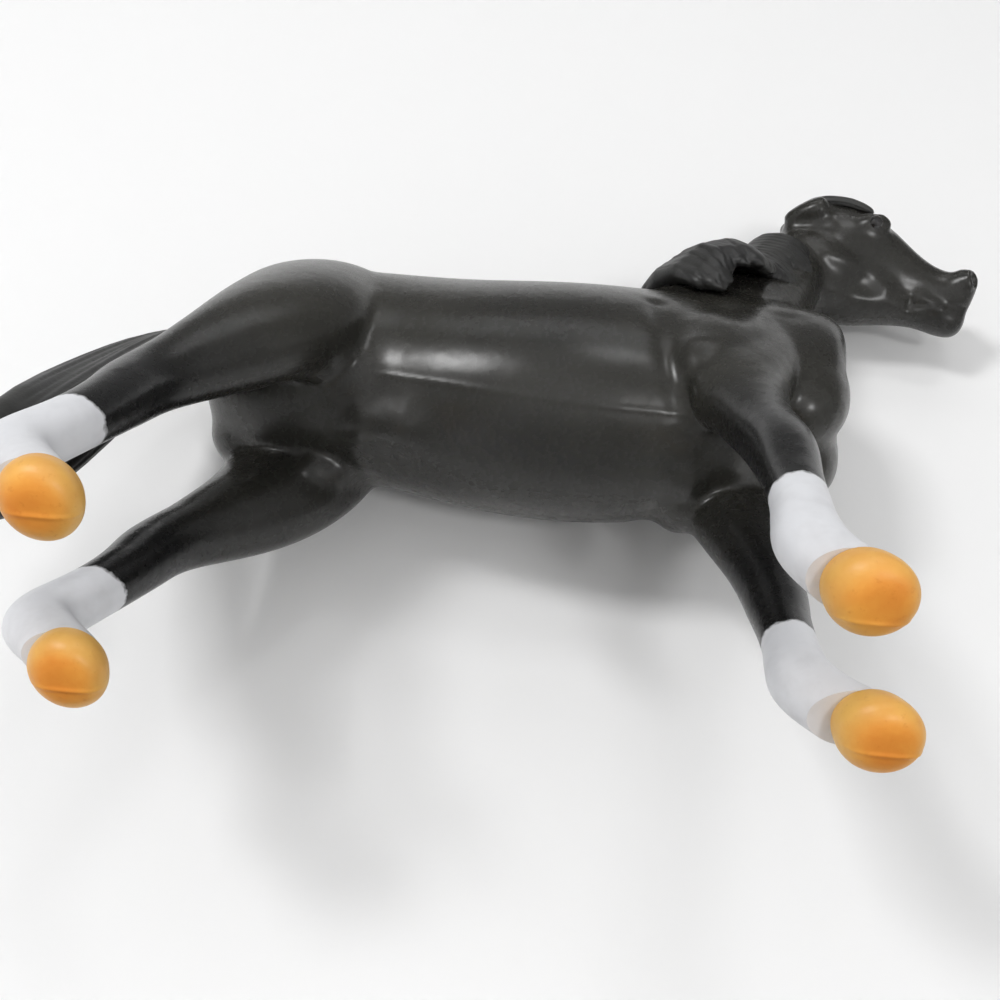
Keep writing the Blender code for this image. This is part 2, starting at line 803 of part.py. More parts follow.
def tail_forms():
    """A core and the locks that wind slightly round it."""
    core = []
    for along, across, up, wide, deep in tail_shares:
        centre = Vector((along * body_length, across * body_length, up * wither_height))
        half = wide * tail_width * tail_core_share
        reach = deep * tail_depth * tail_core_share
        core.append((centre, half, reach, reach))
    forms = [loft("tail_core", core, tail_front, count=12)]
    for index in range(tail_lock_count):
        stations = []
        for row, (along, across, up, wide, deep) in enumerate(tail_shares):
            angle = math.tau * index / tail_lock_count + tail_twist * row
            centre = Vector((
                along * body_length + math.cos(angle) * deep * tail_depth * tail_lock_place_share,
                across * body_length + math.sin(angle) * wide * tail_width * tail_lock_place_share,
                up * wither_height))
            size = tail_lock_size_share * (wide * tail_width + deep * tail_depth) / 2
            stations.append((centre, size, size, size))
        forms.append(loft(f"tail_lock_{index}", stations, tail_front, count=8, levels=1))
    return forms


# Putting the figure together

hidden_skin = swollen(skin, seam)
mane = skin_over("mane", mane_forms(), hair_voxel, hair_smoothing, mane_faces_share, figure)
combine(mane, hidden_skin, "DIFFERENCE")
settle(mane, black_hair)
forelock = skin_over("forelock", forelock_forms(), hair_voxel, hair_smoothing, forelock_faces_share, figure)
combine(forelock, hidden_skin, "DIFFERENCE")
settle(forelock, black_hair)
tail_key_shares = (-0.500, 0.860)
forward = Vector((1, 0, 0))
tail_key = (side_point(*tail_key_shares), forward, tail_plug_width, tail_plug_width, tail_plug_root)
tail = skin_over("tail", tail_forms(), hair_voxel, hair_smoothing, tail_faces_share, figure)
combine(tail, hidden_skin, "DIFFERENCE")
combine(tail, plug("tail_plug", *tail_key), "UNION")
settle(tail, black_hair)

head_side = beyond("head_side", (neck_point, neck_normal), seam / 2, cutter_reach, cutter_reach)
torso_side = beyond(
    "torso_side", (neck_point, -neck_normal), seam / 2, torso_cutter_reach, torso_cutter_reach)
neck_seat_shares = (0.372, -0.040, 0.905)
neck_seat = Vector((
    neck_seat_shares[0] * body_length,
    neck_seat_shares[1] * body_length,
    neck_seat_shares[2] * wither_height))
neck_key = (neck_seat, -neck_normal, neck_plug_width, neck_plug_depth, plug_root)

head = new_object("head_and_neck", skin.data.copy(), figure)
combine(head, head_side, "INTERSECT")
combine(head, plug("neck_plug", *neck_key), "UNION")

torso = new_object("torso", skin.data.copy(), figure)
combine(torso, torso_side, "INTERSECT")
combine(torso, plug("neck_socket", *neck_key, grow=seam), "DIFFERENCE")
combine(torso, plug("tail_socket", *tail_key, grow=seam), "DIFFERENCE")
for end, plane in (("fore", fore_parting), ("hind", hind_parting)):
    legs_space = beyond(
        f"{end}_legs_space", plane, -seam / 2, body_length * leg_space_share, cutter_reach)
    combine(torso, legs_space, "DIFFERENCE")
    for side in ("right", "left"):
        build_leg(f"{side}_{end}", plane, torso)
        build_sock(f"{side}_{end}")
        build_hoof(f"{side}_{end}")
settle(torso, black_body)

eye_shares = (0.385, 0.420, 0.275)
for side, sign in (("right", -1), ("left", 1)):
    centre = head_frame() @ in_head(eye_shares, sign)
    eye = oval(f"{side}_eye_bead", centre, (eye_radius, eye_radius, eye_radius), count=12)
    combine(head, swollen(eye, seam), "DIFFERENCE")
    bead = new_object(f"{side}_eye", baked(eye), figure)
    settle(bead, gloss_eye)
settle(head, black_body)

# The origin goes under the middle of the figure's box
corners = [vertex.co for thing in figure.objects for vertex in thing.data.vertices]
middle = Vector((
    (min(c.x for c in corners) + max(c.x for c in corners)) / 2,
    (min(c.y for c in corners) + max(c.y for c in corners)) / 2,
    0))
for thing in figure.objects:
    thing.data.transform(Matrix.Translation(-middle))
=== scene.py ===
"""A solid black plastic toy horse with white socks and tan hooves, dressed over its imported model.

Metres, in the model's own frame: +X towards the muzzle, +Y to the horse's left, +Z up. The camera looks up
at the belly and the soles, as the photograph does of the horse lying on its left side.
"""
import math

import bmesh
import bpy
import numpy as np
from mathutils import Matrix, Vector


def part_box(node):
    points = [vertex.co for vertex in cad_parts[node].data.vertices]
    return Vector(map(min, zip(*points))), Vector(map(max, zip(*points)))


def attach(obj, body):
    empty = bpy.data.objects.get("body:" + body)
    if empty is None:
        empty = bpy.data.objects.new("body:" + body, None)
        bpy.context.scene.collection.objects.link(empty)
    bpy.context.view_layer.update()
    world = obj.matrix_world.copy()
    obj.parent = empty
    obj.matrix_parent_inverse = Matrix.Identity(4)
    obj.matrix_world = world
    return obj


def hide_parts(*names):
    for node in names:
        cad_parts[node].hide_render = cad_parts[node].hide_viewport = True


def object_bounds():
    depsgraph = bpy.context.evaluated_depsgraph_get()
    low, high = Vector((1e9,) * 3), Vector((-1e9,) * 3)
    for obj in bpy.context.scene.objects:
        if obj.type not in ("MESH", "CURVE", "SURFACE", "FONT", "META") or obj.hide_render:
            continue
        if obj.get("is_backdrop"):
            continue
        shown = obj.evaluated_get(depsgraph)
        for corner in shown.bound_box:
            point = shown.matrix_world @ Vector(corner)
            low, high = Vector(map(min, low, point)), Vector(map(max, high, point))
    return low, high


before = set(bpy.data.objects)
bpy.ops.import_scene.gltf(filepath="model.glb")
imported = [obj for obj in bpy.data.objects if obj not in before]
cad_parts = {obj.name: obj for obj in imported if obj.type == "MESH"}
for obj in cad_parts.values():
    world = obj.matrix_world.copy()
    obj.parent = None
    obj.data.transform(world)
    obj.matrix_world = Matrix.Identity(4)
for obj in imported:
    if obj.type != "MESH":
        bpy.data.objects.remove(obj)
cad_low, cad_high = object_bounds()


# Body plastic
# The real figure is cast in one black plastic with a soft shine. The surface is slightly uneven where it
# has been handled, and has a fine grain. It isn't painted.

body_length = 0.100
wither_height = 0.100


def new_material(name, roughness, specular, coat):
    """A material with one shader, and its nodes and links."""
    material = bpy.data.materials.new(name)
    material.use_nodes = True
    nodes = material.node_tree.nodes
    links = material.node_tree.links
    shader = nodes["Principled BSDF"]
    shader.inputs["Roughness"].default_value = roughness
    shader.inputs["Specular IOR Level"].default_value = specular
    shader.inputs["Coat Weight"].default_value = coat
    return material, nodes, links, shader


def noise(nodes, links, place, size, detail=3.0, rough=0.5):
    """A noise whose cells are about that size in metres."""
    texture = nodes.new("ShaderNodeTexNoise")
    texture.inputs["Scale"].default_value = 1.0 / size
    texture.inputs["Detail"].default_value = detail
    texture.inputs["Roughness"].default_value = rough
    links.new(place, texture.inputs["Vector"])
    return texture.outputs["Fac"]


def ranged(nodes, links, value, low, high, to_low, to_high):
    """A value mapped from one range to another, and held inside it."""
    step = nodes.new("ShaderNodeMapRange")
    step.clamp = True
    step.inputs["From Min"].default_value = low
    step.inputs["From Max"].default_value = high
    step.inputs["To Min"].default_value = to_low
    step.inputs["To Max"].default_value = to_high
    links.new(value, step.inputs["Value"])
    return step.outputs["Result"]


def blended(nodes, links, factor, first, second):
    """A colour between two colours or sockets."""
    mix = nodes.new("ShaderNodeMix")
    mix.data_type = "RGBA"
    links.new(factor, mix.inputs["Factor"])
    for name, colour in (("A", first), ("B", second)):
        socket = next(s for s in mix.inputs if s.name == name and s.type == "RGBA")
        if isinstance(colour, tuple):
            socket.default_value = (*colour, 1.0)
        else:
            links.new(colour, socket)
    return next(s for s in mix.outputs if s.type == "RGBA")


def bumped(nodes, links, shader, heights):
    """Bumps on the shader: each is a height socket and its depth in metres."""
    normal = None
    for height, depth in heights:
        bump = nodes.new("ShaderNodeBump")
        bump.inputs["Strength"].default_value = 1.0
        bump.inputs["Distance"].default_value = depth
        links.new(height, bump.inputs["Height"])
        if normal:
            links.new(normal, bump.inputs["Normal"])
        normal = bump.outputs["Normal"]
    links.new(normal, shader.inputs["Normal"])


def object_place(nodes):
    """The place on the piece, in metres."""
    return nodes.new("ShaderNodeTexCoord").outputs["Object"]


body_dark = (0.014, 0.0135, 0.012)
body_light = (0.032, 0.031, 0.026)
body_roughness = 0.27


def cast_black(nodes, links, place, shader):
    """The slow drift of the black and of its shine, with the uneven cast surface and its fine grain."""
    drift = noise(nodes, links, place, 0.022, 2.0, 0.5)
    mottle = noise(nodes, links, place, 0.0016, 3.0, 0.6)
    tint = ranged(nodes, links, drift, 0.25, 0.75, 0.0, 1.0)
    shine = ranged(nodes, links, mottle, 0.2, 0.8, body_roughness - 0.012, body_roughness + 0.018)
    swell = noise(nodes, links, place, 0.0050, 2.0, 0.5)
    grain = noise(nodes, links, place, 0.0006, 2.0, 0.5)
    bumped(nodes, links, shader, ((swell, 0.00010), (mottle, 0.000009), (grain, 0.000003)))
    return blended(nodes, links, tint, body_dark, body_light), shine


def body_plastic(name):
    """Black cast plastic with a soft shine."""
    material, nodes, links, shader = new_material(name, body_roughness, 0.45, 0.0)
    colour, shine = cast_black(nodes, links, object_place(nodes), shader)
    links.new(colour, shader.inputs["Base Color"])
    links.new(shine, shader.inputs["Roughness"])
    return material


black_body = body_plastic("black_body_plastic")


# Barrel, shoulders and haunches
# The trunk of the casting: a full barrel with the shoulder blades, the breast, the haunches and the stifles
# standing out of it. It is solid, and everything else is plugged or bonded to it.

barrel_width = 0.0362
hind_sway = 0.039 * barrel_width
torso_squareness = 2.15
forms = bpy.data.collections.new("forms")
bpy.context.scene.collection.children.link(forms)
pieces = bpy.data.collections.new("toy_horse")
bpy.context.scene.collection.children.link(pieces)


def new_object(name, mesh, collection):
    """An object that holds the mesh."""
    thing = bpy.data.objects.new(name, mesh)
    collection.objects.link(thing)
    return thing


def mesh_from(bm, name):
    """A mesh with its faces pointing out."""
    bmesh.ops.recalc_face_normals(bm, faces=bm.faces)
    mesh = bpy.data.meshes.new(name)
    bm.to_mesh(mesh)
    bm.free()
    return mesh


def baked(thing):
    """The object's evaluated mesh, in the model's frame."""
    bpy.context.view_layer.update()
    evaluated = thing.evaluated_get(bpy.context.evaluated_depsgraph_get())
    mesh = bpy.data.meshes.new_from_object(evaluated)
    mesh.transform(thing.matrix_world)
    return mesh


def section_ring(centre, side_axis, front_axis, side, front, back, square, count):
    """Points round one oval section, whose front and back halves can differ."""
    points = []
    for step in range(count):
        angle = math.tau * step / count
        across = math.copysign(abs(math.cos(angle)) ** (2 / square), math.cos(angle))
        along = math.copysign(abs(math.sin(angle)) ** (2 / square), math.sin(angle))
        reach = front if along > 0 else back
        points.append(centre + side_axis * side * across + front_axis * reach * along)
    return points


def closed_rows(bm, rows):
    """Faces between the rows of points, with a cap at each end."""
    rows = [[bm.verts.new(point) for point in row] for row in rows]
    for row, following in zip(rows, rows[1:]):
        for step in range(len(row)):
            after = (step + 1) % len(row)
            bm.faces.new((row[step], row[after], following[after], following[step]))
    bm.faces.new(rows[0])
    bm.faces.new(rows[-1])


def loft(name, stations, front_hint, square=2.0, count=16, rolls=None, levels=2, lines=None,
         line_count=12):
    """A closed form through oval sections.

    A station is its centre and its half sizes: to each side, to the front and to the back. The lines that
    run along the form through matching places of its sections are added to the list of lines, if given.
    """
    rows = []
    centres = [Vector(station[0]) for station in stations]
    for index, (centre, side, front, back) in enumerate(stations):
        before = centres[max(index - 1, 0)]
        after = centres[min(index + 1, len(centres) - 1)]
        tangent = (after - before).normalized()
        hint = Vector(front_hint)
        if rolls:
            hint = Matrix.Rotation(rolls[index], 3, "X") @ hint
        side_axis = tangent.cross(hint).normalized()
        front_axis = side_axis.cross(tangent).normalized()
        rows.append(section_ring(Vector(centre), side_axis, front_axis, side, front, back, square, count))
    if lines is not None:
        for step in range(0, count, count // line_count):
            lines.append([tuple(row[step]) for row in rows])
    bm = bmesh.new()
    closed_rows(bm, rows)
    form = new_object(name, mesh_from(bm, name), forms)
    if levels:
        rounding = form.modifiers.new("rounding", "SUBSURF")
        rounding.levels = levels
        rounding.render_levels = levels
    return form


def oval(name, centre, half_sizes, pitch=0.0, count=24):
    """An oval form, used as a swelling under the skin or as an eye."""
    bm = bmesh.new()
    placing = Matrix.Translation(centre) @ Matrix.Rotation(pitch, 4, "Y")
    placing = placing @ Matrix.Diagonal((*half_sizes, 1.0))
    bmesh.ops.create_uvsphere(bm, u_segments=count, v_segments=count // 2, radius=1.0, matrix=placing)
    return new_object(name, mesh_from(bm, name), forms)


def body_place(along, across, up):
    """A place from its shares of the body's length and of the withers' height."""
    return along * body_length, across * body_length, up * wither_height


# A row is a place along the body, the top, the bottom, the half width and the sway to the left
torso_shares = (
    (-0.500, 0.830, 0.700, 0.16, 0.010),
    (-0.475, 0.890, 0.640, 0.34, 0.010),
    (-0.420, 0.930, 0.590, 0.43, 0.010),
    (-0.330, 0.955, 0.565, 0.465, 0.010),
    (-0.220, 0.958, 0.555, 0.460, 0.010),
    (-0.120, 0.940, 0.530, 0.470, 0.010),
    (-0.020, 0.920, 0.500, 0.495, 0.008),
    (0.080, 0.916, 0.488, 0.505, 0.006),
    (0.170, 0.930, 0.490, 0.490, 0.004),
    (0.250, 0.970, 0.500, 0.45, 0.000),
    (0.330, 0.985, 0.515, 0.43, -0.004),
    (0.395, 0.930, 0.530, 0.42, -0.006),
    (0.455, 0.885, 0.550, 0.41, -0.006),
    (0.494, 0.835, 0.585, 0.33, -0.006),
)
# Muscles that stand out of the barrel: centre, half sizes and pitch in degrees
muscle_shares = {
    "shoulder_blade": ((0.292, 0.20, 0.775), (0.120, 0.252, 0.185), -22),
    "triceps": ((0.270, 0.235, 0.650), (0.105, 0.215, 0.145), -20),
    "breast": ((0.386, 0.13, 0.705), (0.098, 0.250, 0.165), -12),
    "haunch": ((-0.310, 0.19, 0.790), (0.145, 0.260, 0.140), 12),
    "buttock": ((-0.405, 0.21, 0.735), (0.085, 0.215, 0.130), 12),
    "stifle": ((-0.290, 0.27, 0.628), (0.072, 0.150, 0.092), 28),
}

barrel = []
for along, top, bottom, half, sway in torso_shares:
    reach = (top - bottom) / 2 * wither_height
    barrel.append((body_place(along, sway, (top + bottom) / 2), half * barrel_width, reach, reach))
body_forms = [loft("barrel", barrel, (0, 0, 1), square=torso_squareness, count=20)]


def body_oval(name, shares, sign, sway):
    """An oval of the body, placed by its shares."""
    place, half, pitch = shares
    across = sign * place[1] * barrel_width + sway
    centre = (place[0] * body_length, across, place[2] * wither_height)
    sizes = (half[0] * body_length, half[1] * barrel_width, half[2] * wither_height)
    return oval(name, centre, sizes, math.radians(pitch))


for name, shares in muscle_shares.items():
    sway = hind_sway if shares[0][0] < 0 else 0
    for side, sign in (("right", -1), ("left", 1)):
        body_forms.append(body_oval(f"{side}_{name}", shares, sign, sway))


# Neck and head
# One casting with the neck, leaning over to the right and turned. The skull, the jaw, the jowls, the brows,
# the nostrils and both laid-back ears are modelled in it, and it seats on a keyed plug at the neck's base.

neck_width = 0.0119
head_length = 0.0350
head_depth = 0.0192
head_width = 0.0143
ear_length = 0.0088
neck_squareness = 2.1
neck_back = (-0.6, 0, 0.8)
skull_squareness = 2.3
jaw_squareness = 2.6
# A row is a centre along, across and up, the half width, the depth to crest and throat, and the roll
neck_shares = (
    (0.235, -0.010, 0.790, 1.28, 1.50, 1.50, 0),
    (0.320, -0.035, 0.860, 1.22, 1.32, 1.45, 10),
    (0.385, -0.069, 0.938, 0.92, 1.06, 0.76, 22),
    (0.433, -0.101, 1.019, 0.72, 0.86, 0.56, 34),
    (0.465, -0.131, 1.100, 0.56, 0.68, 0.52, 46),
    (0.488, -0.160, 1.154, 0.46, 0.52, 0.48, 56),
)
neck = []
neck_rolls = []
for along, across, up, half, crest, throat, roll in neck_shares:
    sizes = (half * neck_width, crest * neck_width, throat * neck_width)
    neck.append((body_place(along, across, up), *sizes))
    neck_rolls.append(math.radians(roll))
body_forms.append(loft("neck", neck, neck_back, square=neck_squareness, rolls=neck_rolls))

# The head's own +X runs from poll to muzzle: a row is a place along, the top, the bottom and the half width
skull_shares = (
    (-0.05, 0.16, -0.24, 0.24),
    (0.04, 0.36, -0.40, 0.36),
    (0.16, 0.48, -0.42, 0.43),
    (0.30, 0.50, -0.36, 0.48),
    (0.44, 0.42, -0.34, 0.42),
    (0.58, 0.26, -0.32, 0.34),
    (0.72, 0.14, -0.30, 0.29),
    (0.84, 0.11, -0.30, 0.33),
    (0.92, 0.12, -0.30, 0.35),
    (0.98, 0.04, -0.24, 0.28),
)
jaw_shares = (
    (0.00, -0.10, -0.50, 0.28),
    (0.12, -0.05, -0.64, 0.38),
    (0.30, -0.05, -0.68, 0.39),
    (0.45, -0.08, -0.60, 0.34),
    (0.62, -0.10, -0.50, 0.27),
    (0.76, -0.12, -0.46, 0.24),
    (0.88, -0.15, -0.50, 0.26),
    (0.98, -0.18, -0.47, 0.21),
)
head_oval_shares = {
    "jowl": ((0.165, 0.29, -0.25), (0.225, 0.23, 0.40)),
    "brow": ((0.38, 0.38, 0.27), (0.090, 0.125, 0.110)),
    "nostril": ((0.90, 0.25, 0.00), (0.075, 0.145, 0.15)),
}
head_place_shares = (0.460, -0.176, 1.151)
head_pitch = 10.5
head_yaw = 9.5
head_roll = 58

head_place = Vector(body_place(*head_place_shares))
head_turn = Matrix.Rotation(math.radians(head_yaw), 4, "Z")
head_turn = head_turn @ Matrix.Rotation(math.radians(head_pitch), 4, "Y")
head_turn = head_turn @ Matrix.Rotation(math.radians(head_roll), 4, "X")
head_frame = Matrix.Translation(head_place) @ head_turn


def in_head(shares, sign=1):
    """A place in the head's own frame, from its shares."""
    return Vector((shares[0] * head_length, sign * shares[1] * head_width, shares[2] * head_depth))


def head_loft(name, shares, square):
    """One form of the head, through rows of shares."""
    stations = []
    for along, top, bottom, half in shares:
        middle = (top + bottom) / 2 * head_depth
        reach = (top - bottom) / 2 * head_depth
        stations.append(((along * head_length, 0, middle), half * head_width, reach, reach))
    form = loft(name, stations, (0, 0, 1), square=square)
    form.matrix_world = head_frame
    return form


# Ear: a row is a place along it, its half width and its half thickness
ear_shares = (
    (0.00, 0.34, 0.28),
    (0.26, 0.37, 0.30),
    (0.55, 0.33, 0.24),
    (0.82, 0.22, 0.16),
    (1.00, 0.09, 0.08),
)
ear_root_shares = (0.15, 0.30, 0.37)
ear_splay = 24
ear_set_back = 120


def ear_form(side, sign):
    """One ear, from its root beside the poll, laid back along the neck."""
    stations = []
    for along, half, deep in ear_shares:
        reach = deep * ear_length
        stations.append(((0, 0, along * ear_length), half * ear_length, reach, reach))
    form = loft(f"{side}_ear", stations, (1, 0, 0), count=10)
    root = Matrix.Translation(in_head(ear_root_shares, sign))
    lean = Matrix.Rotation(math.radians(-sign * ear_splay), 4, "X")
    lean = lean @ Matrix.Rotation(math.radians(-ear_set_back), 4, "Y")
    form.matrix_world = head_frame @ root @ lean
    return form


body_forms.append(head_loft("skull", skull_shares, skull_squareness))
body_forms.append(head_loft("jaw", jaw_shares, jaw_squareness))
for side, sign in (("right", -1), ("left", 1)):
    for name, (place, half) in head_oval_shares.items():
        form = oval(f"{side}_{name}", in_head(place, sign), in_head(half))
        form.matrix_world = head_frame
        body_forms.append(form)
    body_forms.append(ear_form(side, sign))


# Leg castings
# Each leg is a black casting with a keyed plug at its top and a core that runs down into the hoof. Forearm
# or thigh, knee or hock, cannon, fetlock and pastern are modelled in it down to the hoof.

elbow_height = 0.552 * wither_height
cannon_width = 0.0064
fore_stance = 0.434 * barrel_width
hind_stance = 0.541 * barrel_width
fore_reach = 0.346 * body_length
hind_reach = -0.459 * body_length
right_fore_setback = 0.021 * body_length
fore_sway = 0.025 * barrel_width
hoof_height = 0.0046
# A row is a height, the place in front of the cannon, the half width, and the depth to front and to back
fore_leg_shares = (
    (0.000, 0.04, 0.62, 0.66, 0.64),
    (0.070, 0.02, 0.60, 0.64, 0.62),
    (0.130, -0.10, 0.56, 0.56, 0.70),
    (0.195, -0.12, 0.59, 0.57, 0.76),
    (0.250, -0.05, 0.57, 0.55, 0.62),
    (0.340, 0.00, 0.53, 0.53, 0.54),
    (0.440, 0.00, 0.55, 0.55, 0.55),
    (0.530, 0.00, 0.68, 0.70, 0.62),
    (0.610, -0.02, 0.71, 0.73, 0.64),
    (0.720, -0.15, 0.68, 0.70, 0.70),
    (0.860, -0.32, 0.80, 0.92, 0.90),
    (1.000, -0.30, 0.88, 1.15, 1.12),
    (1.150, 0.00, 0.90, 1.40, 1.35),
    (1.320, 0.15, 0.84, 1.50, 1.40),
    (1.500, -0.30, 0.70, 1.30, 1.25),
    (1.660, -0.90, 0.42, 0.90, 0.90),
)
hind_leg_shares = (
    (0.000, 0.06, 0.60, 0.64, 0.62),
    (0.070, 0.00, 0.58, 0.63, 0.60),
    (0.140, -0.30, 0.52, 0.55, 0.60),
    (0.210, -0.74, 0.60, 0.60, 0.80),
    (0.260, -0.70, 0.58, 0.58, 0.74),
    (0.360, -0.40, 0.55, 0.57, 0.60),
    (0.500, -0.12, 0.59, 0.61, 0.66),
    (0.600, -0.08, 0.68, 0.69, 0.84),
    (0.680, 0.02, 0.68, 0.72, 0.82),
    (0.780, 0.42, 0.80, 0.88, 0.94),
    (0.900, 1.00, 1.00, 1.25, 1.25),
    (1.020, 1.55, 1.10, 1.65, 1.70),
    (1.180, 2.00, 1.10, 1.95, 2.00),
    (1.360, 2.15, 1.02, 1.95, 2.10),
    (1.540, 2.20, 0.75, 1.55, 1.70),
)
# How far a leg leans out from its stance, row by row
fore_spread_shares = (
    0.00, 0.00, 0.05, 0.10, 0.14, 0.20, 0.26, 0.28, 0.28, 0.24, 0.24, 0.36, 0.52, 0.58, 0.50, 0.30)
right_hind_spread_shares = (
    0.00, 0.00, 0.00, 0.00, 0.00, 0.00, 0.00, -0.04, -0.06, 0.00, 0.12, 0.24, 0.30, 0.30, 0.20)
left_hind_spread_shares = (
    0.00, 0.00, 0.08, 0.18, 0.24, 0.32, 0.44, 0.56, 0.64, 0.72, 0.80, 0.78, 0.62, 0.50, 0.40)
# Side, rows, lean, place of the cannon, stance, sway and how far the hoof stands before the cannon
leg_plan = {
    "right_fore": (
        -1, fore_leg_shares, fore_spread_shares, fore_reach - right_fore_setback, fore_stance, fore_sway,
        0.62),
    "left_fore": (1, fore_leg_shares, fore_spread_shares, fore_reach, fore_stance, fore_sway, 0.91),
    "right_hind": (-1, hind_leg_shares, right_hind_spread_shares, hind_reach, hind_stance, 0, 0.50),
    "left_hind": (1, hind_leg_shares, left_hind_spread_shares, hind_reach, hind_stance, 0, 0.54),
}
pastern_share = 0.23
sole_rise_share = 0.55


def leg_centre(name, index):
    """The middle of one row of a leg."""
    sign, shares, spreads, reach, stance, sway, lead = leg_plan[name]
    up, ahead = shares[index][:2]
    slope = lead * max(0, 1 - up / pastern_share)
    across = sign * (stance / 2 + spreads[index] * cannon_width) + sway
    height = max(up * elbow_height, sole_rise_share * hoof_height)
    return Vector((reach + (ahead + slope) * cannon_width, across, height))


for leg_name, (_, shares, *_) in leg_plan.items():
    stations = []
    for index, (up, ahead, half, front, back) in enumerate(shares):
        sizes = (half * cannon_width, front * cannon_width, back * cannon_width)
        stations.append((leg_centre(leg_name, index), *sizes))
    body_forms.append(loft(f"{leg_name}_form", stations, (1, 0, 0), count=12))


# Modelled skin
# The forms run into one another under one smooth skin, as clay does. The sheath, creases, ridges and lips
# are then drawn on it, and it is parted where the castings meet, at the neck, the legs and the socks.

skin_voxel = 0.00045
skin_smoothing = 43


def skin_over(name, shapes, voxel, smoothing):
    """One smooth skin over the forms, which are used up."""
    bm = bmesh.new()
    for form in shapes:
        mesh = baked(form)
        bm.from_mesh(mesh)
        bpy.data.meshes.remove(mesh)
        bpy.data.objects.remove(form, do_unlink=True)
    rough = new_object(f"rough_{name}", mesh_from(bm, name), forms)
    remesh = rough.modifiers.new("skin", "REMESH")
    remesh.mode = "VOXEL"
    remesh.voxel_size = voxel
    smooth = rough.modifiers.new("smooth", "SMOOTH")
    smooth.factor = 0.5
    smooth.iterations = smoothing
    mesh = baked(rough)
    bpy.data.objects.remove(rough, do_unlink=True)
    return mesh


skin = skin_over("skin", body_forms, skin_voxel, skin_smoothing)


def rows_of(items, field):
    """The places or directions of the items, as rows of numbers."""
    flat = np.empty(len(items) * 3)
    items.foreach_get(field, flat)
    return flat.reshape(-1, 3)


def settle(mesh, shift):
    """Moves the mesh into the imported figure's frame, and clips what reaches past that figure's box."""
    points = rows_of(mesh.vertices, "co") + np.array(shift)
    points = np.clip(points, np.array(cad_low), np.array(cad_high))
    mesh.vertices.foreach_set("co", points.ravel())
    mesh.update()


def distance_to(points, line):
    """How far each point lies from a line of places."""
    nearest = np.full(len(points), np.inf)
    for start, end in zip(line, line[1:]):
        run = end - start
        share = np.clip((points - start) @ run / (run @ run), 0, 1)
        gap = np.linalg.norm(points - (start + share[:, None] * run), axis=1)
        nearest = np.minimum(nearest, gap)
    return nearest


def curved(places, steps=5):
    """A smooth line through a few places."""
    places = [np.array(place, float) for place in places]
    if len(places) < 3:
        return places
    ends = [2 * places[0] - places[1], *places, 2 * places[-1] - places[-2]]
    line = []
    for a, b, c, d in zip(ends, ends[1:], ends[2:], ends[3:]):
        for step in range(steps):
            t = step / steps
            line.append(0.5 * (2 * b + (c - a) * t + (2 * a - 5 * b + 4 * c - d) * t ** 2
                               + (3 * b - a - 3 * c + d) * t ** 3))
    line.append(places[-1])
    return line


def draw(mesh, strokes):
    """Raises or sinks the skin along lines: each is its places, its half width and its rise."""
    points = rows_of(mesh.vertices, "co")
    normals = rows_of(mesh.vertex_normals, "vector")
    rise = np.zeros(len(points))
    for places, half, height in strokes:
        line = np.array(curved(places))
        close = (points > line.min(axis=0) - 3 * half).all(axis=1)
        close &= (points < line.max(axis=0) + 3 * half).all(axis=1)
        near = distance_to(points[close], line) / half
        rise[close] += height * np.exp(-near ** 2)
    points += normals * rise[:, None]
    mesh.vertices.foreach_set("co", points.ravel())
    mesh.update()


def body_line(places, sign=-1):
    """A line on the right of the body or along its middle, as given, or the same line on the left."""
    return [body_place(along, -sign * across, up) for along, across, up in places]


def head_line(places, sign=-1):
    """A line on one side of the head, from shares of its own sizes."""
    return [tuple(head_frame @ in_head(place, sign)) for place in places]


# Lines on each side of the body: places for the right side, half width and rise
shoulder_crease = (
    (0.190, -0.163, 0.680), (0.190, -0.158, 0.640), (0.208, -0.110, 0.546), (0.219, -0.075, 0.520),
    (0.234, -0.029, 0.505))
elbow_web = ((0.240, -0.130, 0.560), (0.240, -0.105, 0.525), (0.243, -0.085, 0.500), (0.252, -0.055, 0.500))
flank_hollow = (
    (-0.224, -0.153, 0.709), (-0.204, -0.143, 0.666), (-0.192, -0.109, 0.601), (-0.208, -0.048, 0.559))
stifle_web = (
    (-0.290, -0.046, 0.545), (-0.262, -0.037, 0.563), (-0.238, -0.051, 0.565), (-0.229, -0.075, 0.562))
gaskin_hollow = ((-0.448, -0.110, 0.430), (-0.401, -0.100, 0.450))
breast_groove = ((0.385, -0.150, 0.700), (0.350, -0.145, 0.610), (0.310, -0.125, 0.560))
body_strokes = (
    (shoulder_crease, 0.0016, -0.0005),
    (elbow_web, 0.0032, 0.0011),
    (flank_hollow, 0.0055, -0.0003),
    (stifle_web, 0.0030, 0.0009),
    (gaskin_hollow, 0.0030, -0.0002),
    (breast_groove, 0.0024, -0.0004),
)
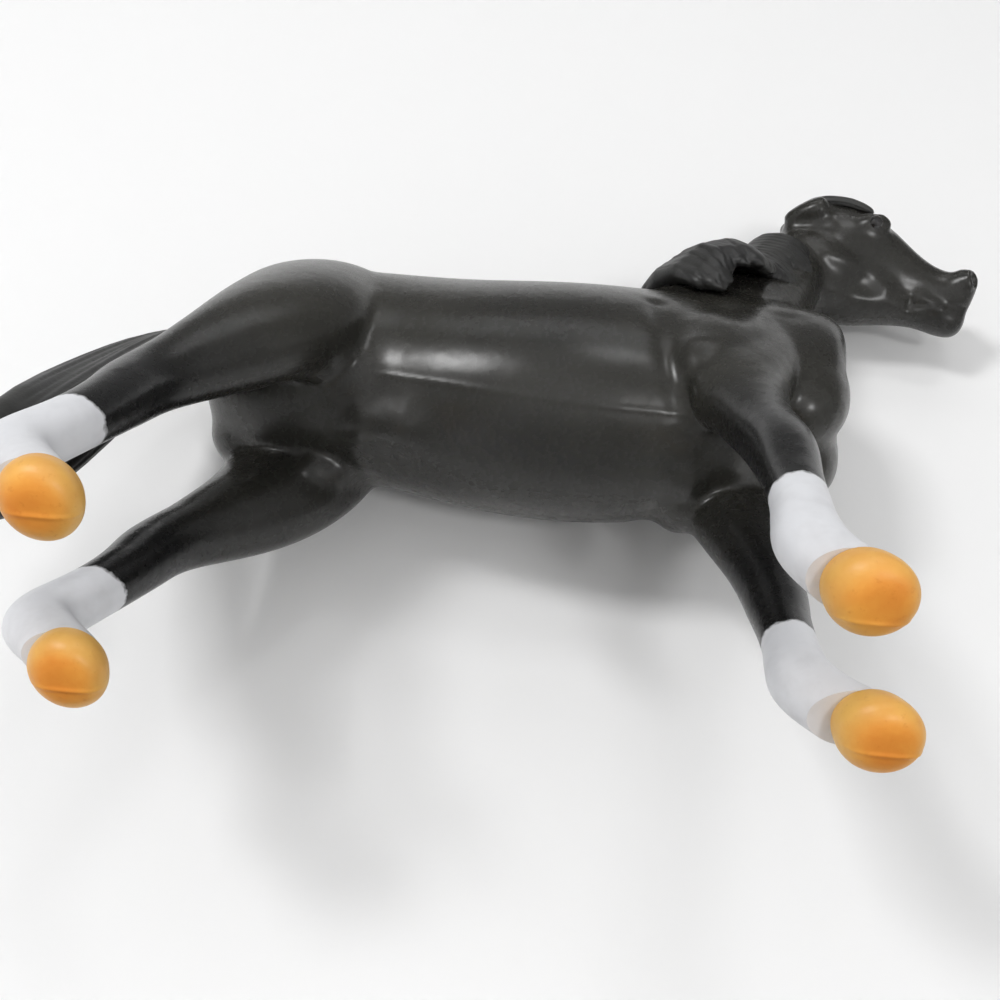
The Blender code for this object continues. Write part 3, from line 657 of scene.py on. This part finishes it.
# Lines on each side of the head
mouth_line = ((0.690, 0.25, -0.33), (0.780, 0.27, -0.29), (0.880, 0.27, -0.25), (0.990, 0.16, -0.20))
lip_corner = ((0.672, 0.25, -0.29), (0.668, 0.24, -0.37))
lip_pad = ((0.725, 0.30, -0.250), (0.825, 0.27, -0.310))
facial_crest = ((0.190, 0.49, -0.160), (0.320, 0.455, -0.170), (0.440, 0.38, -0.210), (0.530, 0.31, -0.260))
jowl_edge = ((-0.07, 0.42, 0.00), (-0.09, 0.44, -0.22), (-0.03, 0.42, -0.50), (0.10, 0.38, -0.66))
jaw_ridge = ((0.10, 0.40, -0.42), (0.35, 0.38, -0.45), (0.60, 0.27, -0.38))
ear_hollow = ((0.05, 0.38, 0.08), (0.13, 0.42, 0.10))
brow_line = ((0.30, 0.44, 0.36), (0.375, 0.46, 0.385), (0.45, 0.41, 0.31))
nostril_pit = ((0.935, 0.36, 0.06), (0.955, 0.33, 0.00))
nostril_rim = ((0.905, 0.36, 0.12), (0.900, 0.38, 0.03), (0.925, 0.36, -0.06))
head_strokes = (
    (mouth_line, 0.0004, -0.0004),
    (lip_corner, 0.0005, -0.0006),
    (lip_pad, 0.0011, 0.0007),
    (facial_crest, 0.0018, 0.0009),
    (jowl_edge, 0.0012, -0.0009),
    (jaw_ridge, 0.0016, 0.0004),
    (ear_hollow, 0.0022, -0.0005),
    (brow_line, 0.0008, 0.0005),
    (nostril_pit, 0.0007, -0.0009),
    (nostril_rim, 0.0006, 0.0004),
)
# Lines near the middle of the belly
belly_parting = (
    (-0.199, -0.063, 0.565), (-0.064, -0.066, 0.529), (0.069, -0.063, 0.509), (0.160, -0.060, 0.507),
    (0.225, -0.057, 0.511))
sheath_line = ((-0.212, 0.012, 0.552), (-0.186, 0.010, 0.546), (-0.160, 0.008, 0.540))

strokes = [(body_line(sheath_line), 0.0036, 0.0020), (body_line(belly_parting), 0.00038, 0.00010)]
for sign in (-1, 1):
    for places, half, height in body_strokes:
        strokes.append((body_line(places, sign), half, height))
    for places, half, height in head_strokes:
        strokes.append((head_line(places, sign), half, height))
draw(skin, strokes)

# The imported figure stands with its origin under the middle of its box, and so does this skin
eye_shares = (0.385, 0.420, 0.275)
packed_eye = sum(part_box("right_eye"), Vector()) / 2
frame_shift = packed_eye - head_frame @ in_head(eye_shares, -1)
frame_shift.z = 0


def plane_through(first, second, towards):
    """The plane that stands on the line between two points of the middle plane."""
    line = (second - first).normalized()
    normal = line.cross(Vector((0, 1, 0))).normalized()
    if normal.dot(towards) < 0:
        normal.negate()
    return first, normal


def side_point(along, up):
    """A point of the middle plane, from its shares of length and height."""
    return Vector(body_place(along, 0, up))


# Two points of each leg parting, along and up, and the neck parting's point and direction
fore_parting_shares = ((0.240, 0.468), (0.440, 0.530))
hind_parting_shares = ((-0.240, 0.492), (-0.500, 0.585))
neck_point_shares = (0.330, 0.985)
neck_direction = (0.71, -0.22, 0.67)
sock_height = 0.0217
down = Vector((0, 0, -1))
fore_parting = plane_through(*[side_point(*shares) for shares in fore_parting_shares], down)
hind_parting = plane_through(*[side_point(*shares) for shares in hind_parting_shares], down)
neck_parting = (side_point(*neck_point_shares), Vector(neck_direction).normalized())


def part_skin(mesh):
    """Cuts the skin's faces along the parting planes, and says which piece each face belongs to."""
    bm = bmesh.new()
    bm.from_mesh(mesh)
    cuts = (
        (neck_parting, lambda x: x > 0),
        (fore_parting, lambda x: x > 0),
        (hind_parting, lambda x: x < 0),
        ((Vector((0, 0, sock_height)), down), lambda x: True),
        ((Vector((0, 0, hoof_height)), down), lambda x: True),
    )
    for (point, normal), inside in cuts:
        faces = [face for face in bm.faces if inside(face.calc_center_median().x)]
        edges = list({edge for face in faces for edge in face.edges})
        verts = list({vert for face in faces for vert in face.verts})
        bmesh.ops.bisect_plane(bm, geom=faces + edges + verts, dist=1e-7, plane_co=point, plane_no=normal)
    for face in bm.faces:
        middle = face.calc_center_median()
        end, parting = ("fore", fore_parting) if middle.x > 0 else ("hind", hind_parting)
        side = "left" if middle.y > 0 else "right"
        if middle.z < hoof_height:
            face.material_index = 0
        elif middle.z < sock_height:
            face.material_index = 1 + piece_names.index(f"{side}_{end}_sock")
        elif (middle - parting[0]).dot(parting[1]) > 0:
            face.material_index = 1 + piece_names.index(f"{side}_{end}_leg")
        elif middle.x > 0 and (middle - neck_parting[0]).dot(neck_parting[1]) > 0:
            face.material_index = 1 + piece_names.index("head_and_neck")
        else:
            face.material_index = 1 + piece_names.index("torso")
    bm.to_mesh(mesh)
    bm.free()


piece_names = ["torso", "head_and_neck"]
for leg_name in leg_plan:
    piece_names += [f"{leg_name}_leg", f"{leg_name}_sock"]
part_skin(skin)
settle(skin, frame_shift)
skin_points = rows_of(skin.vertices, "co")
skin_normals = rows_of(skin.vertex_normals, "vector")
skin_owner = np.empty(len(skin.polygons), np.int32)
skin.polygons.foreach_get("material_index", skin_owner)
skin_faces = [tuple(face.vertices) for face in skin.polygons]


def cut_piece(name, material):
    """One closed piece of the skin, which keeps the whole skin's shading up to its edges."""
    owner = 1 + piece_names.index(name)
    mine = [skin_faces[index] for index in np.nonzero(skin_owner == owner)[0]]
    used = sorted({corner for face in mine for corner in face})
    place = {corner: index for index, corner in enumerate(used)}
    bm = bmesh.new()
    verts = [bm.verts.new(skin_points[corner]) for corner in used]
    for face in mine:
        bm.faces.new([verts[place[corner]] for corner in face])
    open_edges = [edge for edge in bm.edges if edge.is_boundary]
    caps = bmesh.ops.holes_fill(bm, edges=open_edges, sides=0)["faces"]
    for face in caps:
        face.material_index = 1
    mesh = bpy.data.meshes.new(name)
    bm.to_mesh(mesh)
    bm.free()
    shading = []
    for face in mesh.polygons:
        face.use_smooth = True
        for corner in face.vertices:
            shading.append(tuple(face.normal) if face.material_index else tuple(skin_normals[used[corner]]))
        face.material_index = 0
    mesh.normals_split_custom_set(shading)
    mesh.materials.append(material)
    return new_object(f"{name}_piece", mesh, pieces)


# Torso piece
# The solid trunk, with sockets for the neck, the tail and the four legs. Its skin runs on into theirs, so
# the joints hardly show. Bonded, not screwed.

torso = cut_piece("torso", black_body)
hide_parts("torso")
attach(torso, "root")


# Head and neck piece
# The neck and head casting, bonded to the trunk on its keyed plug. The ears are laid back against the neck,
# and the mouth, nostrils and jowls are cut into the master model.

head = cut_piece("head_and_neck", black_body)
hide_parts("head_and_neck")
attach(head, "root")


# Legs and socks
# The four black legs, and the white paint that is dipped or sprayed on from below. The paint's upper edge
# is soft and a little ragged, and its lower edge meets the hoof paint.

white_paint = (0.80, 0.81, 0.84)
sock_patch_grey = (0.60, 0.60, 0.62)
# Painted shade: the legs turn to a darker black from the first height down to the second, and stay that dark
# below it
lower_leg_painted_shade = (0.010, 0.010, 0.010)
painted_shade_top = 0.050
painted_shade_full = 0.034
fore_sock_drop = 0.0018
sock_edge_wave = 0.0004
sock_edge_blur = 0.00025


def summed(nodes, links, first, second):
    """Two values added."""
    step = nodes.new("ShaderNodeMath")
    links.new(first, step.inputs[0])
    links.new(second, step.inputs[1])
    return step.outputs["Value"]


def leg_plastic(name):
    """Black plastic above the sock's edge, with painted shade that darkens the lower leg, and white paint
    below it.
    """
    material, nodes, links, shader = new_material(name, body_roughness, 0.45, 0.0)
    place = object_place(nodes)
    split = nodes.new("ShaderNodeSeparateXYZ")
    links.new(place, split.inputs["Vector"])
    black, shine = cast_black(nodes, links, place, shader)
    # Painted shade: below 50 mm the black is blended to the darker lower-leg black, fully dark below 34 mm
    low = ranged(nodes, links, split.outputs["Z"], painted_shade_full, painted_shade_top, 1.0, 0.0)
    black = blended(nodes, links, low, black, lower_leg_painted_shade)
    ragged = noise(nodes, links, place, 0.0022, 3.0, 0.6)
    wave = ranged(nodes, links, ragged, 0.3, 0.7, -sock_edge_wave, sock_edge_wave)
    drop = ranged(nodes, links, split.outputs["X"], -0.01, 0.01, 0.0, fore_sock_drop)
    edge = summed(nodes, links, summed(nodes, links, split.outputs["Z"], wave), drop)
    covered = ranged(nodes, links, edge, sock_height - sock_edge_blur, sock_height + sock_edge_blur, 0.0, 1.0)
    # The sock's white is blended towards grey in random patches
    grey_patch_share = ranged(nodes, links, noise(nodes, links, place, 0.004, 3.0, 0.6), 0.45, 0.75, 0.0, 0.4)
    paint = blended(nodes, links, grey_patch_share, white_paint, sock_patch_grey)
    links.new(blended(nodes, links, covered, paint, black), shader.inputs["Base Color"])
    painted = ranged(nodes, links, covered, 0.0, 1.0, 0.12, 0.0)
    links.new(summed(nodes, links, painted, shine), shader.inputs["Roughness"])
    return material


leg_finish = leg_plastic("leg_plastic_and_sock_paint")
for leg_name in leg_plan:
    leg = cut_piece(f"{leg_name}_leg", leg_finish)
    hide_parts(f"{leg_name}_leg")
    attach(leg, "root")
    sock = cut_piece(f"{leg_name}_sock", leg_finish)
    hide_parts(f"{leg_name}_sock")
    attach(sock, "root")


# Hooves
# Each hoof is a low rounded block with tan paint over it, which drifts from tan to yellow and is worn brown
# in spots. The mould's parting line crosses the slightly domed sole from front to back.

hoof_width = 0.0086
hoof_slope_share = 0.12
hoof_ring_count = 64
hoof_voxel = 0.00018
hoof_smoothing = 3
# From the middle of the sole out, over its rounded edge and up to the hair: width and height shares
hoof_profile_shares = (
    (0.16, 0.000), (0.30, 0.004), (0.45, 0.014), (0.60, 0.038), (0.72, 0.080), (0.83, 0.150), (0.92, 0.250),
    (0.98, 0.360), (1.0, 0.48), (1.0, 0.58), (0.975, 0.72), (0.94, 0.86), (0.88, 1.0), (0.80, 1.04),
    (0.60, 1.06))
parting_offset_shares = {"right_fore": 0.47, "left_fore": 0.23, "right_hind": 0.19, "left_hind": 0.23}
parting_reach_share = 0.96
parting_half = 0.00022
parting_rise = 0.00011
hoof_tan = (0.82, 0.40, 0.085)
hoof_brown = (0.62, 0.25, 0.045)
hoof_yellow = (0.90, 0.53, 0.130)


def hoof_paint(name):
    """Tan paint with a yellow to brown drift, fine grain and worn spots."""
    material, nodes, links, shader = new_material(name, 0.42, 0.5, 0.0)
    place = object_place(nodes)
    patches = noise(nodes, links, place, 0.006, 4.0, 0.6)
    specks = noise(nodes, links, place, 0.0009, 3.0, 0.7)
    warm = blended(nodes, links, ranged(nodes, links, patches, 0.35, 0.68, 0.0, 1.0), hoof_yellow, hoof_tan)
    worn = ranged(nodes, links, specks, 0.60, 0.80, 0.0, 0.45)
    links.new(blended(nodes, links, worn, warm, hoof_brown), shader.inputs["Base Color"])
    links.new(ranged(nodes, links, patches, 0.3, 0.7, 0.36, 0.50), shader.inputs["Roughness"])
    bumped(nodes, links, shader, ((patches, 0.00006), (specks, 0.00002)))
    return material


def smooth_piece(name, mesh, material):
    """A smooth piece of the figure."""
    mesh.shade_smooth()
    mesh.materials.append(material)
    return new_object(f"{name}_piece", mesh, pieces)


def hoof_mesh(name):
    """The hoof's skin, which stands on the parting line that is raised across its sole."""
    foot = leg_centre(name, 0)
    side_axis = Vector((0, 1, 0))
    front_axis = Vector((1, 0, 0))
    rows = []
    for wide, up in hoof_profile_shares:
        slope = hoof_slope_share * hoof_width * up
        centre = Vector((foot.x - slope, foot.y, up * hoof_height + parting_rise * (1 - up)))
        half = wide * hoof_width / 2
        rows.append(section_ring(centre, side_axis, front_axis, half, half, half, 2.0, hoof_ring_count))
    bm = bmesh.new()
    closed_rows(bm, rows)
    form = new_object(f"{name}_hoof_form", mesh_from(bm, name), forms)
    mesh = skin_over(f"{name}_hoof", [form], hoof_voxel, hoof_smoothing)
    across = parting_offset_shares[name] * hoof_width / 2
    reach = parting_reach_share * math.sqrt((hoof_width / 2) ** 2 - across ** 2)
    line = [(foot.x + way * reach, foot.y + across, hoof_height * rise) for way, rise in (
        (-1.0, 0.36), (-0.85, 0.19), (-0.6, 0.08), (0.0, 0.02), (0.6, 0.08), (0.85, 0.19), (1.0, 0.36))]
    draw(mesh, [(line, parting_half, parting_rise)])
    return mesh


tan_paint = hoof_paint("hoof_tan_paint")
for leg_name in leg_plan:
    mesh = hoof_mesh(leg_name)
    settle(mesh, frame_shift)
    hoof = smooth_piece(f"{leg_name}_hoof", mesh, tan_paint)
    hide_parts(f"{leg_name}_hoof")
    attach(hoof, "root")


# Mane
# A separate black moulding of overlapping locks that lie over the right side of the crest. Each lock has
# the combed strands of hair cut into it. It is glued down along the crest.

mane_thickness = 0.0036
mane_start_share = 0.22
mane_end_share = 0.97
mane_stand_shares = (0.35, 0.85, 1.35, 1.50, 0.80, 0.15, -0.05, -0.15, -0.15, -0.15, -0.15)
mane_lock_count = 21
mane_root_share = 0.86
mane_parting_share = 0.10
mane_shoulder_share = 0.55
mane_middle_share = 0.34
mane_drop_share = 0.18
mane_lean_share = 0.12
mane_tip_lean_share = 0.36
mane_wave_share = 0.12
mane_wave_turn = 2.4
mane_lock_shares = ((0.86, 0.56), (0.92, 0.60), (0.92, 0.54), (0.62, 0.32))
hair_voxel = 0.00025
hair_smoothing = 26
strand_half = 0.00022
strand_depth = 0.00018
hair_colour_dark = (0.013, 0.013, 0.013)
hair_colour_light = (0.026, 0.026, 0.024)
lock_front = (0.2, -1, 0.3)


def lock(name, points, widths, lines):
    """One moulded lock of hair, from its root to its tip, and the lines of the strands along it."""
    stations = []
    for point, (half, thick) in zip(points, widths):
        stations.append((point, half, thick, thick))
    return loft(name, stations, lock_front, count=36, levels=1, lines=lines)


def crest_point(along):
    """A point on the neck's line, with the neck's half sizes and its own directions there."""
    place = along * (len(neck_shares) - 2)
    index = min(int(place), len(neck_shares) - 2)
    share = place - index
    rows = []
    for row in neck_shares[index:index + 2]:
        centre = Vector(body_place(*row[:3]))
        rows.append((centre, row[3] * neck_width, row[4] * neck_width, math.radians(row[6])))
    centre = rows[0][0].lerp(rows[1][0], share)
    half, crest, roll = (low + (high - low) * share for low, high in zip(rows[0][1:], rows[1][1:]))
    line = (rows[1][0] - rows[0][0]).normalized()
    hint = Matrix.Rotation(roll, 3, "X") @ Vector(neck_back)
    right = -line.cross(hint).normalized()
    if right.y > 0:
        right.negate()
    back = right.cross(line)
    if back.z < 0:
        back.negate()
    return centre, half, crest, right, back, line


mane_locks = []
mane_lines = []
mane_last = len(mane_stand_shares) - 1
for index in range(mane_lock_count):
    place = index * mane_last / (mane_lock_count - 1)
    stand = float(np.interp(place, range(mane_last + 1), mane_stand_shares))
    along = mane_start_share + (mane_end_share - mane_start_share) * place / mane_last
    centre, half, crest, right, back, line = crest_point(along)
    drop = mane_drop_share + mane_wave_share * math.sin(mane_wave_turn * place)
    out = right * (half + stand * mane_thickness)
    root = centre + back * crest * mane_root_share - right * half * mane_parting_share
    shoulder = centre + back * crest * mane_root_share + out * mane_shoulder_share
    middle = centre + back * crest * mane_middle_share + out - line * half * mane_lean_share
    tip = centre - back * crest * drop + out - line * half * mane_tip_lean_share
    widths = [(wide * mane_thickness, thick * mane_thickness) for wide, thick in mane_lock_shares]
    mane_locks.append(lock(f"mane_lock_{index}", (root, shoulder, middle, tip), widths, mane_lines))


def hair_plastic(name):
    """Black plastic with the satin look of moulded hair."""
    material, nodes, links, shader = new_material(name, 0.42, 0.5, 0.0)
    place = object_place(nodes)
    patches = noise(nodes, links, place, 0.008, 4.0, 0.6)
    grain = noise(nodes, links, place, 0.0006, 2.0, 0.6)
    tint = ranged(nodes, links, patches, 0.35, 0.65, 0.0, 1.0)
    links.new(blended(nodes, links, tint, hair_colour_dark, hair_colour_light), shader.inputs["Base Color"])
    links.new(ranged(nodes, links, patches, 0.3, 0.7, 0.36, 0.52), shader.inputs["Roughness"])
    bumped(nodes, links, shader, ((grain, 0.00005),))
    return material


black_hair = hair_plastic("black_hair_plastic")


def hair_piece(name, locks, lines):
    """One hair moulding over its locks, with the strands cut into it."""
    mesh = skin_over(name, locks, hair_voxel, hair_smoothing)
    draw(mesh, [(line, strand_half, -strand_depth) for line in lines])
    settle(mesh, frame_shift)
    piece = smooth_piece(name, mesh, black_hair)
    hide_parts(name)
    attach(piece, "root")
    return piece


hair_piece("mane", mane_locks, mane_lines)


# Forelock
# Three short locks that fall from the poll between the ears over the forehead, cast with fine strands and
# glued on after the mane.

forelock_thickness = 0.0026
forelock_shares = (
    (0.02, 0.00, 0.38, 0.07),
    (0.13, -0.03, 0.47, 0.11),
    (0.25, -0.06, 0.49, 0.14),
    (0.385, -0.09, 0.42, 0.17),
)
forelock_lock_shares = ((0.62, 0.45), (0.66, 0.48), (0.60, 0.44), (0.40, 0.34))
forelock_locks = []
forelock_lines = []
for side in (-1, 0, 1):
    points = []
    for along, across, up, fan in forelock_shares:
        points.append(head_frame @ in_head((along, across + side * fan, up)))
    widths = [(wide * forelock_thickness, thick * forelock_thickness) for wide, thick in forelock_lock_shares]
    forelock_locks.append(lock(f"forelock_lock_{side}", points, widths, forelock_lines))
hair_piece("forelock", forelock_locks, forelock_lines)


# Tail
# A thick black hank that hangs from the dock almost to the ground, twisted a little, with long strands cut
# along it. It is a moulding of its own, plugged into the rump.

tail_width = 0.0150
tail_depth = 0.0125
tail_shares = (
    (-0.430, 0.008, 0.868, 0.17, 0.22),
    (-0.490, 0.008, 0.880, 0.21, 0.24),
    (-0.548, 0.004, 0.850, 0.27, 0.28),
    (-0.590, 0.002, 0.760, 0.31, 0.34),
    (-0.608, 0.002, 0.640, 0.39, 0.38),
    (-0.615, 0.000, 0.500, 0.47, 0.40),
    (-0.616, -0.006, 0.370, 0.53, 0.38),
    (-0.612, -0.012, 0.250, 0.50, 0.31),
    (-0.606, -0.014, 0.150, 0.18, 0.16),
)
tail_lock_count = 7
tail_core_share = 0.88
tail_lock_place_share = 0.70
tail_lock_size_share = 0.34
tail_twist = 0.16
tail_front = (-1, 0, 0.01)

tail_core = []
for along, across, up, wide, deep in tail_shares:
    half = wide * tail_width * tail_core_share
    reach = deep * tail_depth * tail_core_share
    tail_core.append((body_place(along, across, up), half, reach, reach))
tail_locks = [loft("tail_core", tail_core, tail_front, count=48)]
tail_lines = []
for index in range(tail_lock_count):
    stations = []
    for row, (along, across, up, wide, deep) in enumerate(tail_shares):
        angle = math.tau * index / tail_lock_count + tail_twist * row
        centre = Vector((
            along * body_length + math.cos(angle) * deep * tail_depth * tail_lock_place_share,
            across * body_length + math.sin(angle) * wide * tail_width * tail_lock_place_share,
            up * wither_height))
        size = tail_lock_size_share * (wide * tail_width + deep * tail_depth) / 2
        stations.append((centre, size, size, size))
    tail_locks.append(loft(f"tail_lock_{index}", stations, tail_front, count=36, levels=1, lines=tail_lines))
tail = hair_piece("tail", tail_locks, tail_lines)


# Eyes
# A bead of gloss black paint on each moulded eyeball, which stands out of the head under the brow. The
# inner part of the bead is sunk in the head.

eye_radius = 0.0014
eye_black = (0.006, 0.006, 0.006)
eye_brown = (0.016, 0.012, 0.009)


def eye_paint(name):
    """Wet-looking black paint with clouds of brown in it."""
    material, nodes, links, shader = new_material(name, 0.10, 0.5, 0.8)
    place = object_place(nodes)
    clouds = noise(nodes, links, place, 0.0010, 3.0, 0.6)
    tint = ranged(nodes, links, clouds, 0.40, 0.70, 0.0, 1.0)
    links.new(blended(nodes, links, tint, eye_black, eye_brown), shader.inputs["Base Color"])
    links.new(ranged(nodes, links, clouds, 0.3, 0.7, 0.08, 0.16), shader.inputs["Roughness"])
    bumped(nodes, links, shader, ((clouds, 0.00003),))
    return material


gloss_black = eye_paint("eye_gloss_paint")
for side, sign in (("right", -1), ("left", 1)):
    centre = head_frame @ in_head(eye_shares, sign) + frame_shift
    bead = oval(f"{side}_eye_form", centre, (eye_radius, eye_radius, eye_radius), count=32)
    mesh = baked(bead)
    bpy.data.objects.remove(bead, do_unlink=True)
    eye = smooth_piece(f"{side}_eye", mesh, gloss_black)
    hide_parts(f"{side}_eye")
    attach(eye, "root")

bpy.data.meshes.remove(skin)
bpy.data.collections.remove(forms)


# Floor and table top
# The studio floor lies under the soles. The horse was photographed lying on its left side, so a pale table
# top leans against its back and left side and takes its shadow. Both are seen from their upper faces only.

pale = (0.93, 0.93, 0.93)


def pale_top(name):
    """A pale surface that is seen from its front only, and lets the lamps through."""
    material, nodes, links, shader = new_material(name, 0.9, 0.1, 0.0)
    shader.inputs["Base Color"].default_value = (*pale, 1.0)
    clear = nodes.new("ShaderNodeBsdfTransparent")
    mix = nodes.new("ShaderNodeMixShader")
    geometry = nodes.new("ShaderNodeNewGeometry")
    rays = nodes.new("ShaderNodeLightPath")
    either = nodes.new("ShaderNodeMath")
    either.operation = "MAXIMUM"
    links.new(geometry.outputs["Backfacing"], either.inputs[0])
    links.new(rays.outputs["Is Shadow Ray"], either.inputs[1])
    links.new(either.outputs["Value"], mix.inputs["Fac"])
    links.new(shader.outputs["BSDF"], mix.inputs[1])
    links.new(clear.outputs["BSDF"], mix.inputs[2])
    links.new(mix.outputs["Shader"], nodes["Material Output"].inputs["Surface"])
    return material


def sheet(name, centre, normal, half, material):
    """A square sheet that faces along its normal."""
    bm = bmesh.new()
    bmesh.ops.create_grid(bm, x_segments=1, y_segments=1, size=half)
    mesh = bpy.data.meshes.new(name)
    bm.to_mesh(mesh)
    bm.free()
    thing = new_object(name, mesh, bpy.context.scene.collection)
    turn = normal.to_track_quat("Z", "Y").to_matrix().to_4x4()
    thing.matrix_world = Matrix.Translation(centre) @ turn
    mesh.materials.append(material)
    thing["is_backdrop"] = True


pale_finish = pale_top("pale_studio_surface")
floor_reach = 3.0
sheet("studio_floor", Vector((0, 0, 0)), Vector((0, 0, 1)), floor_reach, pale_finish)
table_normal = Vector((0, -0.857, -0.515)).normalized()
table_reach = 1.0
table_distance = max(
    -table_normal.dot(vert.co) for piece in (torso, tail, head) for vert in piece.data.vertices)
sheet("table_top", -table_normal * table_distance, table_normal, table_reach, pale_finish)


# Camera and lights
# The camera stands where the photograph was taken from, under the belly. Two windows light the figure from
# the top of the picture, a small lamp stands beside the camera, and two wide lamps fill the rest.

camera_data = bpy.data.cameras.new("camera")
camera = new_object("camera", camera_data, bpy.context.scene.collection)
bpy.context.scene.camera = camera
view_right = Vector((0.9958229, -0.0537161, 0.0738334))
view_down = Vector((0.0800031, 0.9030362, -0.4220488))
view_away = Vector((-0.0440034, 0.4261927, 0.9035615))
camera_share = Vector((0.0531163, -0.5482773, -0.8516641))
camera_spot = camera_share * body_length + frame_shift
camera_data.sensor_width = 36.0
camera_data.lens = 37.83
camera_data.clip_start = 0.005
camera_data.clip_end = 20.0
camera_turn = Matrix((view_right, -view_down, -view_away)).transposed().to_4x4()
camera.matrix_world = Matrix.Translation(camera_spot) @ camera_turn

world = bpy.data.worlds.new("studio")
bpy.context.scene.world = world
world.use_nodes = True
world_nodes = world.node_tree.nodes
world_links = world.node_tree.links
ambient = world_nodes["Background"]
ambient.inputs["Color"].default_value = (1.0, 1.0, 1.0, 1.0)
ambient.inputs["Strength"].default_value = 0.25
backdrop = world_nodes.new("ShaderNodeBackground")
backdrop.inputs["Color"].default_value = (1.0, 1.0, 1.0, 1.0)
backdrop.inputs["Strength"].default_value = 1.0
world_rays = world_nodes.new("ShaderNodeLightPath")
world_mix = world_nodes.new("ShaderNodeMixShader")
world_links.new(world_rays.outputs["Is Camera Ray"], world_mix.inputs["Fac"])
world_links.new(ambient.outputs["Background"], world_mix.inputs[1])
world_links.new(backdrop.outputs["Background"], world_mix.inputs[2])
world_links.new(world_mix.outputs["Shader"], world_nodes["World Output"].inputs["Surface"])


def lamp(name, direction, distance, width, height, power, aim):
    """An area lamp, round where it is over 1 m wide, placed by its direction: right, down and away."""
    data = bpy.data.lights.new(name, "AREA")
    data.shape = "ELLIPSE" if width > 1 else "RECTANGLE"
    data.size = width
    data.size_y = height
    data.energy = power
    data.cycles.use_multiple_importance_sampling = False
    thing = new_object(name, data, bpy.context.scene.collection)
    way = (view_right * direction[0] + view_down * direction[1] + view_away * direction[2]).normalized()
    thing.location = aim + way * distance
    thing.rotation_mode = "QUATERNION"
    thing.rotation_quaternion = way.to_track_quat("Z", "Y")


figure_middle = Vector((0, 0, 0.06))
lamp("window", (-0.49, -0.60, -0.64), 0.90, 0.22, 0.17, 2.8, figure_middle)
lamp("second_window", (0.18, -0.82, -0.54), 0.93, 0.20, 0.15, 0.60, figure_middle)
lamp("desk_lamp", (0.28, 0.00, -0.96), 0.90, 0.14, 0.10, 1.30, figure_middle)
lamp("sky", (0.02, -0.96, -0.15), 1.00, 0.80, 0.34, 1.0, figure_middle)
lamp("room", (-0.06, -0.10, -0.99), 1.20, 1.04, 0.90, 0.8, figure_middle)

bpy.context.scene.view_settings.view_transform = "Standard"

new_low, new_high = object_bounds()
sizes = {"cad": [list(cad_low), list(cad_high)], "visual": [list(new_low), list(new_high)]}
